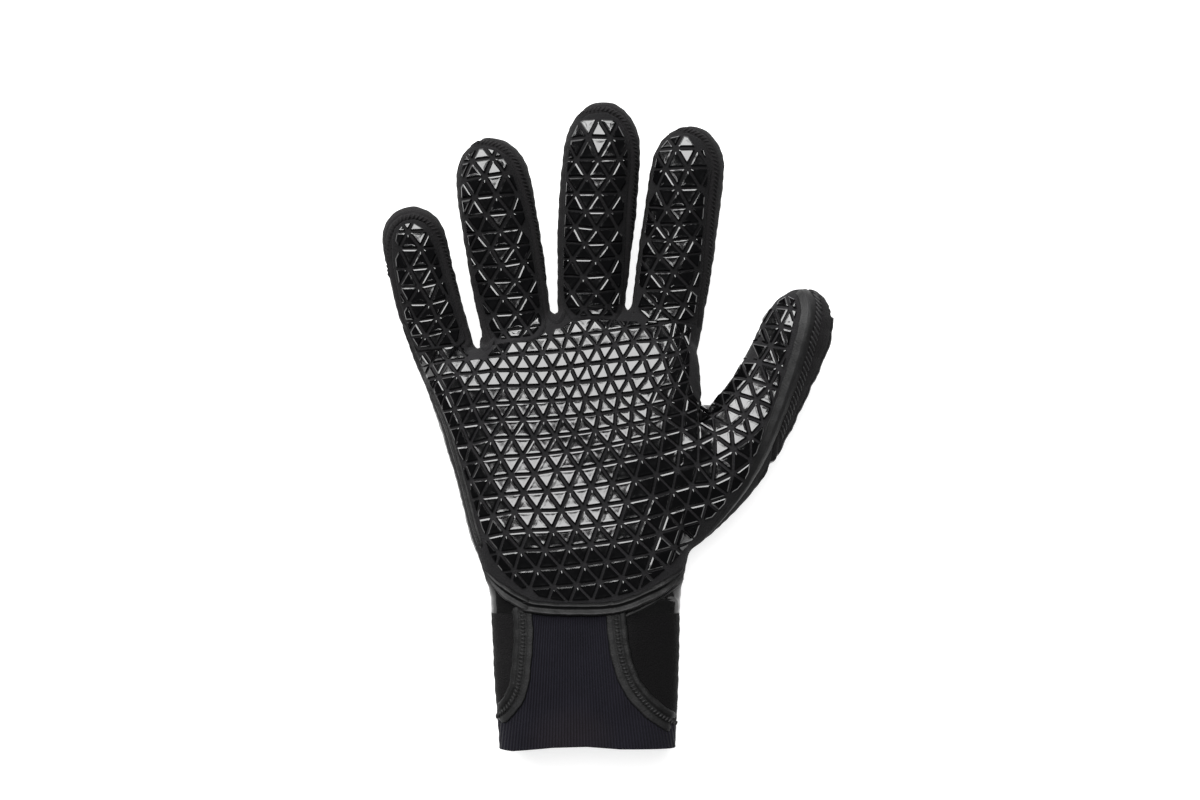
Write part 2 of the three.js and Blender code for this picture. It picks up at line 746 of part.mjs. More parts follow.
// Each stall: a palm-side panel, a band round its sides and tip, and a back panel. Where
// two stalls would touch, the later one gives way.
let takenRoom = bodyRoom;
for (const stall of STALLS) {
  const half = CLEARANCE / 2;
  const ats = stall.rows.map((row) => row.at);
  const tipSeam = ats.indexOf(TIP_SEAM);
  const shift = half / stall.length;
  const panelAts = ats.slice(0, tipSeam + 1);
  panelAts[tipSeam] -= shift;
  const bandAts = [...ats];
  bandAts[tipSeam] += shift;
  const frontEnd = STALL_FACETS.front;
  const backStart = frontEnd + STALL_FACETS.left;
  const backEnd = backStart + STALL_FACETS.back;
  const inFront = (k) => k < frontEnd;
  const inBack = (k) => k >= backStart && k < backEnd;
  const panel = (include) => stallPanel(stall, [...panelAts, 1], half, include).subtract(takenRoom);
  const front = panel((i, k) => i < tipSeam && inFront(k));
  add(`${stall.name}_front`, front.subtract(stall.gripRoom), ...JERSEY);
  const band = stallPanel(stall, bandAts, -half, (i, k) => (
    i >= tipSeam || !(inFront(k) || inBack(k))
  ));
  add(`${stall.name}_band`, band.subtract(takenRoom), ...BAND);
  add(`${stall.name}_back`, panel((i, k) => i < tipSeam && inBack(k)), ...SKIN);
  takenRoom = takenRoom.add(stallSolid(stall, CLEARANCE));
}

// The cuff: a jersey insert that spreads into the hem, and a wrap round the sides and back
const seamPoints = (rows) => rows.map((p) => [p.across * CUFF_WIDTH, p.along * HEM_TOP]);
const leftSeam = seamPoints(CUFF_SEAM_LEFT);
const rightSeam = seamPoints(CUFF_SEAM_RIGHT);
const SEAM_STEPS = 7;
const seamLine = (points) => strip(points, 0, SEAM_STEPS).slice(0, SEAM_STEPS + 1);
const insertOutline = [
  new THREE.Vector2(leftSeam[0][0], CUFF_LENGTH),
  ...seamLine(leftSeam),
  ...seamLine(rightSeam).reverse(),
  new THREE.Vector2(rightSeam[0][0], CUFF_LENGTH),
];
const insertRegion = prism(insertOutline, CUFF_WAIST, TALL);
const hemRegion = (top) => prism(rectangle(-FAR, FAR, -FAR, top), -TALL, TALL);
const seamCut = (points) => prism(strip(points, 2 * CLEARANCE, SEAM_STEPS), -TALL, TALL);
const cuffShell = cuffSolid(0).subtract(cuffHollow());
add('cuff_insert', cuffShell.intersect(insertRegion.add(hemRegion(HEM_TOP))), ...INSERT);
const overWaist = prism(rectangle(-FAR, FAR, -FAR, FAR), CUFF_WAIST - CLEARANCE, TALL);
const wrapCut = prism(insertOutline, CUFF_WAIST - CLEARANCE, TALL)
  .add(hemRegion(HEM_TOP + CLEARANCE))
  .add(seamCut(leftSeam).add(seamCut(rightSeam)).intersect(overWaist));
add('cuff_wrap', cuffShell.subtract(wrapCut), ...BAND);

// Tapes lie on the outside, a clearance off it
function layer(low, high) {
  return bodySolid(high).add(cuffSolid(high)).subtract(bodySolid(low)).subtract(cuffSolid(low));
}
const wristTape = layer(CLEARANCE, CLEARANCE + WRIST_TAPE_THICKNESS);
function stretch(from, to, extra) {
  const [a, b] = [wristLine[from], wristLine[to]].map(([x, y]) => new THREE.Vector2(x, y));
  const run = b.clone().sub(a).setLength(extra);
  const ends = [a.sub(run), b.add(run)].map((p) => [p.x, p.y]);
  const low = PALM_SEAM - SIDE_PIPING_WIDTH / 2 - extra;
  return prism(strip(ends, WRIST_TAPE_WIDTH + 2 * extra, 1), low, TALL);
}
const middleTape = wristTape.intersect(stretch(1, 2, 0));
const middleRoom = stretch(1, 2, CLEARANCE);
add('wrist_tape_middle', middleTape, ...TAPE);
add('wrist_tape_left', wristTape.intersect(stretch(0, 1, 0)).subtract(middleRoom), ...TAPE);
add('wrist_tape_right', wristTape.intersect(stretch(2, 3, 0)).subtract(middleRoom), ...TAPE);

const wristRoom = middleRoom.add(stretch(0, 1, CLEARANCE)).add(stretch(2, 3, CLEARANCE));
const cuffTape = layer(CLEARANCE, CLEARANCE + CUFF_TAPE_THICKNESS);
for (const [name, line] of [['cuff_tape_left', leftSeam], ['cuff_tape_right', rightSeam]]) {
  const end = CUFF_TAPE_END * CUFF_DEPTH;
  const path = prism(strip(line, CUFF_TAPE_WIDTH, SEAM_STEPS), end, TALL);
  add(name, cuffTape.intersect(path).subtract(wristRoom), ...TAPE);
}

// Piping over the palm to back seam on the little-finger side
const pipingBox = prism(
  rectangle(-FAR, 0, ...SIDE_PIPING_SPAN.map((share) => share * HAND_LENGTH)),
  PALM_SEAM - SIDE_PIPING_WIDTH / 2,
  PALM_SEAM + SIDE_PIPING_WIDTH / 2,
);
const sheath = bodySolid(CLEARANCE + PIPING_THICKNESS).subtract(bodyRoom);
let sidePiping = sheath.intersect(pipingBox).subtract(wristRoom);
for (const stall of STALLS) {
  sidePiping = sidePiping.subtract(stallSolid(stall, CLEARANCE + PIPING_THICKNESS));
}
add('side_piping', sidePiping, ...TAPE);

// The raised seam along the outer side of the thumb
const thumb = STALLS[STALLS.length - 1];
const ridgeAngle = radians(thumb.seams.front[0]);
const ridgeRings = thumb.rows.filter((row) => row.at <= TIP_SEAM).map((row) => {
  const spread = THUMB_RIDGE_WIDTH / thumb.width;
  const [low, high] = [CLEARANCE, CLEARANCE + PIPING_THICKNESS].map(
    (grow) => stallStation(thumb, row.at, grow),
  );
  return [
    outlinePoint(low, ridgeAngle - spread),
    outlinePoint(high, ridgeAngle - spread / 2),
    outlinePoint(high, ridgeAngle + spread / 2),
    outlinePoint(low, ridgeAngle + spread),
  ];
});
const ridge = loft(ridgeRings).subtract(bodySolid(CLEARANCE + PIPING_THICKNESS));
add('thumb_ridge', ridge.subtract(wristRoom), ...TAPE);

// The origin is under the middle of the glove, on the surface that it lies on
const box = new THREE.Box3().setFromObject(group);
const middle = box.getCenter(new THREE.Vector3());
group.position.set(-middle.x, -middle.y, -box.min.z);

export default group;
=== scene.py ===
import math

import bpy
import numpy as np
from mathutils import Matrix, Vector
from mathutils.bvhtree import BVHTree


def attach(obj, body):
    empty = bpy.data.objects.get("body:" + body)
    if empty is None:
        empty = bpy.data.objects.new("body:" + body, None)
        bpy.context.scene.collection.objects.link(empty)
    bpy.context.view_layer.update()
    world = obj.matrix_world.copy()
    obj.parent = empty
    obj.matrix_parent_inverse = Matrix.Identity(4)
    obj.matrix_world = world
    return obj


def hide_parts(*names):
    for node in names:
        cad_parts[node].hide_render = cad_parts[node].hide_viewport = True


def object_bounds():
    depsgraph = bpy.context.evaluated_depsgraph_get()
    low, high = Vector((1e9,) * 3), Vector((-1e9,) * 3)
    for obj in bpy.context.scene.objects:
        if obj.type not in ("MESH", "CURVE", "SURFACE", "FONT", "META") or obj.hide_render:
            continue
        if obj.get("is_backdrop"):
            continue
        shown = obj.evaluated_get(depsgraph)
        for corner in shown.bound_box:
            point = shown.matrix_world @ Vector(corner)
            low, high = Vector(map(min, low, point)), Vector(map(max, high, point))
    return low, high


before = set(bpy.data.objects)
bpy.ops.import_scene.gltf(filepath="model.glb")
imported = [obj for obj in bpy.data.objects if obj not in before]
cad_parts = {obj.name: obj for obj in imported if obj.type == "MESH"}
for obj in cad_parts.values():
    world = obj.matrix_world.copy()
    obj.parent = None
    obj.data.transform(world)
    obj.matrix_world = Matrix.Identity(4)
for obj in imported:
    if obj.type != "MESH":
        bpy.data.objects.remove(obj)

solid_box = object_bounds()


# The studio: a pale matt floor, one broad softbox above the fingertips, and a long panel low at
# the upper left that draws the bright lines along the edges of the grips. The camera looks
# straight down on the palm through a long lens, as in the photograph.
PIXEL = 0.4143
GLOVE_MIDDLE = (605.6, 426.4)
PHOTO_MIDDLE = (600.0, 400.0)
PHOTO_WIDTH = 1200
WAIST_HEIGHT = 20.0
LENS = 85.0
SENSOR = 36.0
SOFTBOX_ANGLE = 44.0
SOFTBOX_TILT = (-24, -4, 0)
SOFTBOX_LIGHT = 4.9
PANEL_SIZE = (1.5, 0.44)
PANEL_DISTANCE = 1.2
PANEL_AZIMUTH = 118.0
PANEL_ELEVATION = 32.0
PANEL_LIGHT = 24.0
FLOOR_REACH = 9
FLOOR_GAP = 0.0004
FLOOR_GLOW = 0.78
AIR_GLOW = 0.05


def place(px, py):
    """The place, in mm, that a pixel of the photograph shows."""
    return (px - GLOVE_MIDDLE[0]) * PIXEL, (GLOVE_MIDDLE[1] - py) * PIXEL


def places(pixels):
    return np.array([place(px, py) for px, py in pixels])


class Socket:
    """A socket of a node tree. Arithmetic on it adds the Math nodes."""

    def __init__(self, nodes, socket):
        self.nodes = nodes
        self.socket = socket

    def math(self, operation, *others):
        operands = dict(enumerate((self,) + others))
        return self.nodes.add("ShaderNodeMath", {"operation": operation}, operands)

    def clamped(self):
        return self.math("MAXIMUM", 0.0).math("MINIMUM", 1.0)

    def __add__(self, other):
        return self.math("ADD", other)

    def __sub__(self, other):
        return self.math("SUBTRACT", other)

    def __mul__(self, other):
        return self.math("MULTIPLY", other)

    def __truediv__(self, other):
        return self.math("DIVIDE", other)

    def __rsub__(self, other):
        return self.nodes.add("ShaderNodeMath", {"operation": "SUBTRACT"}, {0: other, 1: self})

    __radd__ = __add__
    __rmul__ = __mul__


class Nodes:
    """A node tree. One method adds a node of any kind, sets it up and fills its sockets."""

    def __init__(self, tree):
        self.tree = tree
        tree.nodes.clear()

    def add(self, kind, settings=None, sockets=None, out=0):
        made = self.tree.nodes.new(kind)
        for name, value in (settings or {}).items():
            setattr(made, name, value)
        for key, value in (sockets or {}).items():
            if isinstance(key, int):
                socket = made.inputs[key]
            else:
                named = [s for s in made.inputs if key in (s.identifier, s.name)]
                socket = ([s for s in named if s.enabled] or named)[0]
            if isinstance(value, Socket):
                self.tree.links.new(value.socket, socket)
            else:
                socket.default_value = value
        outputs = [s for s in made.outputs if s.enabled]
        if not outputs:
            return None
        chosen = outputs[out] if isinstance(out, int) else made.outputs[out]
        return Socket(self, chosen)

    def mixed(self, factor, one, other):
        values = {"Factor_Float": factor, "A_Color": one, "B_Color": other}
        return self.add("ShaderNodeMix", {"data_type": "RGBA"}, values, "Result")

    def noise(self, spot, scale, detail=2.0):
        return self.add("ShaderNodeTexNoise", None, {"Vector": spot, "Scale": scale, "Detail": detail})

    def bump(self, height, strength, distance):
        values = {"Height": height, "Strength": strength, "Distance": distance}
        return self.add("ShaderNodeBump", None, values)


def finish_of(name, **constants):
    """A material with a Principled shader and the constants of its finish."""
    material = bpy.data.materials.new(name)
    material.use_nodes = True
    nodes = Nodes(material.node_tree)
    shader = nodes.add("ShaderNodeBsdfPrincipled")
    for key, value in constants.items():
        shader.socket.node.inputs[key.replace("_", " ")].default_value = value
    nodes.add("ShaderNodeOutputMaterial", None, {"Surface": shader})
    return material, nodes, shader.socket.node.inputs


def connect(nodes, value, socket):
    nodes.tree.links.new(value.socket, socket)


def object_place(nodes, scale=1000.0):
    """Object coordinates in mm."""
    spot = nodes.add("ShaderNodeTexCoord", None, None, "Object")
    return nodes.add("ShaderNodeVectorMath", {"operation": "SCALE"}, {0: spot, "Scale": scale})


def parted(nodes, spot):
    """The x, y and z of a place."""
    split = nodes.add("ShaderNodeSeparateXYZ", None, {0: spot}).socket.node
    return [Socket(nodes, split.outputs[axis]) for axis in "XYZ"]


floor_mesh = bpy.data.meshes.new("floor")
floor_corners = [(x * FLOOR_REACH, y * FLOOR_REACH, 0) for x, y in ((-1, -1), (1, -1), (1, 1), (-1, 1))]
floor_mesh.from_pydata(floor_corners, [], [(0, 1, 2, 3)])
floor = bpy.data.objects.new("floor", floor_mesh)
bpy.context.collection.objects.link(floor)
floor.location.z = -FLOOR_GAP
floor_paint, floor_nodes, floor_sockets = finish_of(
    "pale_floor", Roughness=0.95, Emission_Strength=FLOOR_GLOW, Specular_IOR_Level=0.1
)
grain = floor_nodes.noise(object_place(floor_nodes), 0.02)
connect(
    floor_nodes,
    floor_nodes.mixed(grain, (0.40, 0.40, 0.40, 1), (0.43, 0.43, 0.43, 1)),
    floor_sockets["Base Color"],
)
floor_sockets["Emission Color"].default_value = (1, 1, 1, 1)
floor_mesh.materials.append(floor_paint)
floor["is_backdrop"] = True

world = bpy.data.worlds.new("studio")
world.use_nodes = True
world_nodes = Nodes(world.node_tree)
air = world_nodes.add("ShaderNodeBackground", None, {"Color": (0.95, 0.97, 1, 1), "Strength": AIR_GLOW})
world_nodes.add("ShaderNodeOutputWorld", None, {"Surface": air})
bpy.context.scene.world = world
bpy.context.scene.view_settings.view_transform = "Standard"

softbox = bpy.data.lights.new("softbox", "SUN")
softbox.energy = SOFTBOX_LIGHT
softbox.angle = math.radians(SOFTBOX_ANGLE)
overhead = bpy.data.objects.new("softbox", softbox)
bpy.context.collection.objects.link(overhead)
overhead.rotation_euler = [math.radians(tilt) for tilt in SOFTBOX_TILT]

panel = bpy.data.lights.new("panel", "AREA")
panel.shape = "RECTANGLE"
panel.size, panel.size_y = PANEL_SIZE
panel.energy = PANEL_LIGHT
low_panel = bpy.data.objects.new("panel", panel)
bpy.context.collection.objects.link(low_panel)
azimuth, elevation = math.radians(PANEL_AZIMUTH), math.radians(PANEL_ELEVATION)
low_panel.location = PANEL_DISTANCE * Vector((
    math.cos(azimuth) * math.cos(elevation),
    math.sin(azimuth) * math.cos(elevation),
    math.sin(elevation),
))
low_panel.rotation_euler = low_panel.location.to_track_quat("Z", "Y").to_euler()

lens = bpy.data.cameras.new("camera")
lens.lens = LENS
lens.sensor_width = SENSOR
lens.clip_end = 100
camera = bpy.data.objects.new("camera", lens)
bpy.context.collection.objects.link(camera)
middle = place(*PHOTO_MIDDLE)
height = PHOTO_WIDTH * PIXEL * LENS / SENSOR + WAIST_HEIGHT
camera.location = (middle[0] / 1000, middle[1] / 1000, height / 1000)
bpy.context.scene.camera = camera


# The filled form: palm, five stalls and cuff as the glove keeps them when it lies filled. The
# neoprene is sewn flat and swells over the filling, so the parts are lofted one by one from
# their sections, grown together and smoothed, which rounds the crotches as the real padding does.
HAND_LENGTH = 122.0
HAND_WIDTH = 118.0
HAND_DEPTH = 44.0
CUFF_LENGTH = 60.0
CUFF_WIDTH = 78.0
CUFF_DEPTH = 44.0
WAIST = 0.45
STALL_WAIST = 0.42
PALM_SQUARENESS = 4.5
# The palm slopes off more softly beside the thumb: place along the hand, squareness
THUMB_SIDE_SQUARENESS = ((0, 3.2), (.25, 2.7), (.43, 3.0), (.60, 4.5), (1, 4.5))
STALL_SQUARENESS = 2.2
FLATNESS = 0.88
FINGER_RISE = 9.0
FINGER_BEND = 1.5
TIP_ROUNDNESS = 2.1
WRIST_AT = (-8.284, -73.989)
FORM_VOXEL = 0.95
FORM_SMOOTHING = 12

PALM_SECTIONS = {
    "at": (0, .10, .22, .42, .62, .76, .82, .88, .95, 1),
    "left": (-.330, -.366, -.400, -.450, -.515, -.566, -.545, -.345, -.200, -.075),
    "right": (.340, .354, .376, .393, .410, .402, .398, .385, .335, .190),
    "front": (1.00, 1.00, .99, .96, .93, .91, .88, .83, .75, .58),
    "back": (-.04, -.04, -.04, -.04, -.04, -.04, -.02, .03, .10, .28),
    "cuff": (1, .4, 0, 0, 0, 0, 0, 0, 0, 0),
}
CUFF_SECTIONS = {
    "at": (0, .50, .97, 1.15),
    "wide": (1.000, .975, .930, .925),
    "shift": (0, .005, .010, .010),
    "front": (1.00, .98, .95, .94),
}
FINGER_SECTIONS = {
    "at": (-.40, 0, .35, .70, .80, 1),
    "wide": (.80, .95, 1.00, .99, .965, .93),
    "tip": .775,
}
THUMB_SECTIONS = {
    "at": (0, .15, .32, .48, .66, .84, 1),
    "wide": (.73, .97, 1.10, 1.06, .93, .90, .87),
    "tip": .84,
}
# Each stall: length, width, root across and along the hand, lean at root and tip, roll, rise,
# and how much of its width it keeps at the root
STALLS = {
    "little": (61, 27.2, -.500, .868, -18, -5, 0, .7, 1),
    "ring": (84, 32, -.235, .905, -9.5, -8, 0, 1, .98),
    "middle": (89.5, 32.6, .0165, .975, 3.4, 6, 0, 1, .88),
    "index": (80, 31.2, .286, .975, 8, 7.5, 0, .9, 1.03),
    "thumb": (126.3, 33, .226, .205, 43, 14, 38, 1.2, 1),
}


def sections_of(name):
    return THUMB_SECTIONS if name == "thumb" else FINGER_SECTIONS


def stall_frame(name, at):
    """Middle, side, normal and direction of a stall's section, and its half width."""
    length, width, across, along, lean, tip_lean, roll, rise, root = STALLS[name]
    steps = 24
    middle = np.array([across * HAND_WIDTH, along * HAND_LENGTH, STALL_WAIST * HAND_DEPTH])
    for k in range(steps + 1):
        t = at * k / steps
        turn = math.radians(lean + (tip_lean - lean) * max(t, 0) ** FINGER_BEND)
        climb = rise * FINGER_RISE * (0.6 + 0.8 * max(t, 0)) / length * (t > 0)
        way = np.array([math.sin(turn), math.cos(turn), climb])
        way /= np.linalg.norm(way)
        if k < steps:
            middle = middle + way * at * length / steps
    side = np.array([way[1], -way[0], 0])
    side /= np.linalg.norm(side)
    normal = np.cross(side, way)
    r = math.radians(roll)
    rows = sections_of(name)
    half = np.interp(at, rows["at"], rows["wide"]) * width / 2
    half *= 1 - (1 - root) * min(1, max(0, 1 - at / 0.5))
    near_tip = max(0.0, (at - rows["tip"]) / (1 - rows["tip"]))
    half *= math.sqrt(max(1e-4, 1 - near_tip ** TIP_ROUNDNESS))
    middle[:2] += WRIST_AT
    rolled = side * math.cos(r) + normal * math.sin(r)
    lifted = normal * math.cos(r) - side * math.sin(r)
    return middle, rolled, lifted, way, half


def section(middle, side, normal, half, front, back, squareness, count=56):
    """One closed section: a rounded rectangle about a middle, clipped by the floor."""
    turn = np.linspace(0, 2 * math.pi, count, endpoint=False)
    power = 2 / np.where(np.cos(turn) > 0, squareness[1], squareness[0])
    c = np.sign(np.cos(turn)) * np.abs(np.cos(turn)) ** power
    s = np.sign(np.sin(turn)) * np.abs(np.sin(turn)) ** power
    lift = np.where(s > 0, front, back) * s
    ring = middle + half * c[:, None] * side + lift[:, None] * normal
    ring[:, 2] = np.maximum(ring[:, 2], 0)
    return ring


def lofted(rings):
    """Corners and faces of a closed loft through the rings."""
    count = len(rings[0])
    corners = np.concatenate(rings + [rings[0].mean(0)[None], rings[-1].mean(0)[None]])
    faces = []
    for j in range(len(rings) - 1):
        for i in range(count):
            k = (i + 1) % count
            faces.append((j * count + i, j * count + k, (j + 1) * count + k, (j + 1) * count + i))
    first, last = len(rings) * count, len(rings) * count + 1
    top = (len(rings) - 1) * count
    for i in range(count):
        k = (i + 1) % count
        faces.append((first, k, i))
        faces.append((last, top + i, top + k))
    return corners, faces


X_AXIS, Z_AXIS = np.array([1.0, 0, 0]), np.array([0, 0, 1.0])
lofts = []

rings = []
for at in np.linspace(0, 1, 40):
    row = {key: np.interp(at, PALM_SECTIONS["at"], values) for key, values in PALM_SECTIONS.items()}
    left = row["left"] * HAND_WIDTH * (1 - row["cuff"]) - CUFF_WIDTH / 2 * row["cuff"]
    right = row["right"] * HAND_WIDTH * (1 - row["cuff"]) + CUFF_WIDTH / 2 * row["cuff"]
    waist = WAIST * HAND_DEPTH
    middle = np.array([(left + right) / 2 + WRIST_AT[0], at * HAND_LENGTH + WRIST_AT[1], waist])
    half = (right - left) / 2
    front = row["front"] * HAND_DEPTH - waist
    back = waist - row["back"] * HAND_DEPTH
    squareness = (PALM_SQUARENESS, np.interp(at, *np.transpose(THUMB_SIDE_SQUARENESS)))
    rings.append(section(middle, X_AXIS, Z_AXIS, half, front, back, squareness))
lofts.append(lofted(rings[::-1]))

rings = []
for at in np.linspace(-0.05, 1.15, 20):
    row = {key: np.interp(at, CUFF_SECTIONS["at"], values) for key, values in CUFF_SECTIONS.items()}
    waist = WAIST * CUFF_DEPTH
    middle = np.array([row["shift"] * CUFF_WIDTH + WRIST_AT[0], -at * CUFF_LENGTH + WRIST_AT[1], waist])
    half = row["wide"] * CUFF_WIDTH / 2
    front = row["front"] * CUFF_DEPTH - waist
    back = waist + 0.04 * CUFF_DEPTH
    squareness = (PALM_SQUARENESS, PALM_SQUARENESS)
    rings.append(section(middle, X_AXIS, Z_AXIS, half, front, back, squareness))
lofts.append(lofted(rings))

for name in STALLS:
    rings = []
    first, tip = sections_of(name)["at"][0], sections_of(name)["tip"]
    round_end = tip + (1 - tip) * np.sin(np.linspace(0.1, math.pi / 2, 16))
    for at in np.concatenate([np.linspace(first, tip, 34), round_end]):
        middle, side, normal, way, half = stall_frame(name, at)
        depth = half * FLATNESS
        squareness = (STALL_SQUARENESS, STALL_SQUARENESS)
        rings.append(section(middle, side, normal, half, depth, depth, squareness))
    lofts.append(lofted(rings[::-1]))

corners, faces = [], []
for part_corners, part_faces in lofts:
    start = sum(len(c) for c in corners)
    corners.append(part_corners)
    faces += [tuple(start + i for i in face) for face in part_faces]
form_mesh = bpy.data.meshes.new("filled_form")
form_mesh.from_pydata((np.concatenate(corners) / 1000).tolist(), [], faces)
form = bpy.data.objects.new("filled_form", form_mesh)
bpy.context.collection.objects.link(form)
grow = form.modifiers.new("grow", "REMESH")
grow.mode = "VOXEL"
grow.voxel_size = FORM_VOXEL / 1000
soften = form.modifiers.new("soften", "SMOOTH")
soften.factor = 0.5
soften.iterations = FORM_SMOOTHING


def plain_mesh(thing, name):
    """The evaluated mesh of an object, as a mesh of its own."""
    bpy.context.view_layer.update()
    evaluated = thing.evaluated_get(bpy.context.evaluated_depsgraph_get())
    mesh = bpy.data.meshes.new_from_object(evaluated)
    mesh.name = name
    return mesh


grown = plain_mesh(form, "grown_form")
bpy.data.objects.remove(form)
skin = np.empty(len(grown.vertices) * 3)
grown.vertices.foreach_get("co", skin)
skin = skin.reshape(-1, 3) * 1000
grown.calc_loop_triangles()
triangles = np.empty(len(grown.loop_triangles) * 3, dtype=np.int64)
grown.loop_triangles.foreach_get("vertices", triangles)
triangles = triangles.reshape(-1, 3)


def normals_of(points, corners):
    """Smooth unit normals of the points of a triangle mesh."""
    a, b, c = (points[corners[:, k]] for k in range(3))
    faces = np.cross(b - a, c - a)
    total = np.zeros_like(points)
    for k in range(3):
        np.add.at(total, corners[:, k], faces)
    return total / np.maximum(np.linalg.norm(total, axis=1), 1e-12)[:, None]


def beside(points, start, end):
    """Distance of points from the line start to end, positive on its left."""
    way = np.subtract(end, start)
    way = way / np.linalg.norm(way)
    off = points[:, :2] - start
    return off[:, 1] * way[0] - off[:, 0] * way[1]


# The shape: the palm is a little hollow across its middle and drops to the heel, the
# neoprene puckers where the thumb leaves it and scallops along the thumb's seam, and its sides
# ripple a little. All of it is worked into the filled form before the panels are cut.
STEP_LINE = ((455, 392), (650, 474))
STEP_HEIGHT = 0.55
STEP_WIDTH = 9.0
HEEL_DROP = ((620, 3.2), (600, 3.0), (575, 1.9), (548, 0.5), (530, 0), (300, 0))
# The padding that carries the palm over into the ball of the thumb: pixel and thickness
THUMB_FILLING = (
    (690, 532, 0), (687, 518, 0.9), (685, 500, 2.4), (687, 470, 4.0), (700, 440, 5.9),
    (702, 425, 3.2), (705, 412, 0),
)
FILLING_WIDTH = 4.1
HOLLOW_REACH = 52.0
HOLLOW_SIDES = ((-66, 14), (48, -20))
THUMB_CROTCH = (704, 407)
PUCKER_HEIGHT = 0.45
PUCKER_REACH = 8.0
PUCKERS = 11
SCALLOP_LINE = ((744, 486), (806, 320))
SCALLOP_PITCH = 12.0
SCALLOP_HEIGHT = 0.55
SCALLOPS_START = 2.4
SCALLOPS_RISE = 6.0
SCALLOPS_PAST = 4.0
RIPPLE_HEIGHT = 0.18
RIPPLE_ACROSS = 0.7
RIPPLE_ALONG = 0.9
RIPPLE_SWAY = (2, 0.31)

normals = normals_of(skin, triangles)
facing = np.clip(normals[:, 2], 0, 1)
step = beside(skin, place(*STEP_LINE[0]), place(*STEP_LINE[1]))
in_palm = np.exp(-(skin[:, 1] / HOLLOW_REACH) ** 4)
for edge, fade in HOLLOW_SIDES:
    in_palm *= np.clip((skin[:, 0] - edge) / fade, 0, 1)
skin[:, 2] += facing * in_palm * STEP_HEIGHT * np.tanh(step / STEP_WIDTH)
heel = np.array([(place(0, py)[1], drop_by) for py, drop_by in HEEL_DROP])
skin[:, 2] -= facing * np.interp(skin[:, 1], heel[:, 0], heel[:, 1])
filling = np.array([(*place(px, py), thick) for px, py, thick in THUMB_FILLING])
aside = skin[:, 0] - np.interp(skin[:, 1], filling[:, 1], filling[:, 0])
thick = np.interp(skin[:, 1], filling[:, 1], filling[:, 2], left=0, right=0)
skin[:, 2] += np.minimum(1, 1.5 * facing) * thick * np.exp(-0.5 * (aside / FILLING_WIDTH) ** 2)
crotch = skin[:, :2] - place(*THUMB_CROTCH)
reach = np.linalg.norm(crotch, axis=1)
turn = np.arctan2(crotch[:, 1], crotch[:, 0])
pucker = PUCKER_HEIGHT * np.exp(-(reach / PUCKER_REACH) ** 2) * np.cos(PUCKERS * turn)
skin += normals * (pucker * np.minimum(2 * reach / PUCKER_REACH, 1))[:, None]
thumb_run = np.array(place(*SCALLOP_LINE[1])) - place(*SCALLOP_LINE[0])
thumb_long = np.linalg.norm(thumb_run)
run = (skin[:, :2] - place(*SCALLOP_LINE[0])) @ thumb_run / thumb_long
off_seam = -beside(skin, place(*SCALLOP_LINE[0]), place(*SCALLOP_LINE[1]))
outside = np.clip((off_seam - SCALLOPS_START) / SCALLOPS_RISE, 0, 1)
outside *= (run > 0) & (run < thumb_long + SCALLOPS_PAST)
skin += normals * (SCALLOP_HEIGHT * outside * np.abs(np.sin(math.pi * run / SCALLOP_PITCH)))[:, None]
sway = RIPPLE_SWAY[0] * np.sin(skin[:, 1] * RIPPLE_SWAY[1])
ripple = np.sin(skin[:, 0] * RIPPLE_ACROSS + sway) * np.sin(skin[:, 1] * RIPPLE_ALONG + 1.7)
skin += normals * (RIPPLE_HEIGHT * ripple * (1 - facing) ** 2)[:, None]
normals = normals_of(skin, triangles)
form_tree = BVHTree.FromPolygons([tuple(p) for p in skin], [tuple(t) for t in triangles.tolist()])


# Sewing on the skin: seams, tapes and stitches follow paths that lie on the palm side of the
# form. A tape is a strip with a rolled or folded profile, and a row of stitches is small beads
# of thread, each turned a little from its path.
DROP_FROM = 200.0


def drop(x, y):
    """The point of the palm side under a place, and the normal there."""
    hit, normal, _, _ = form_tree.ray_cast(Vector((x, y, DROP_FROM)), Vector((0, 0, -1)))
    if hit is None:
        hit, normal, _, _ = form_tree.find_nearest(Vector((x, y, WAIST_HEIGHT)))
    return np.array(hit), np.array(normal)


def smoothed(rows, times):
    """The rows of a path, evened out with their neighbours."""
    for _ in range(times):
        rows[1:-1] = rows[1:-1] * 0.5 + (rows[:-2] + rows[2:]) * 0.25
    return rows


def path_on_skin(flat, step=1.2):
    """Even points of a smooth path on the palm side, in mm, with their normals and sides."""
    gaps = np.hypot(*np.diff(flat, axis=0).T)
    run = np.concatenate([[0], np.cumsum(gaps)])
    even = np.linspace(0, run[-1], int(run[-1] / step) + 1)
    flat = smoothed(np.stack([np.interp(even, run, flat[:, k]) for k in range(2)], 1), 8)
    spots = [drop(x, y) for x, y in flat]
    spine = smoothed(np.array([spot[0] for spot in spots]), 2)
    out = smoothed(np.array([spot[1] for spot in spots]), 8)
    ways = np.gradient(spine, axis=0)
    across = np.cross(ways, out)
    across /= np.linalg.norm(across, axis=1)[:, None]
    out = np.cross(across, ways)
    out /= np.linalg.norm(out, axis=1)[:, None]
    return spine, out, across, even


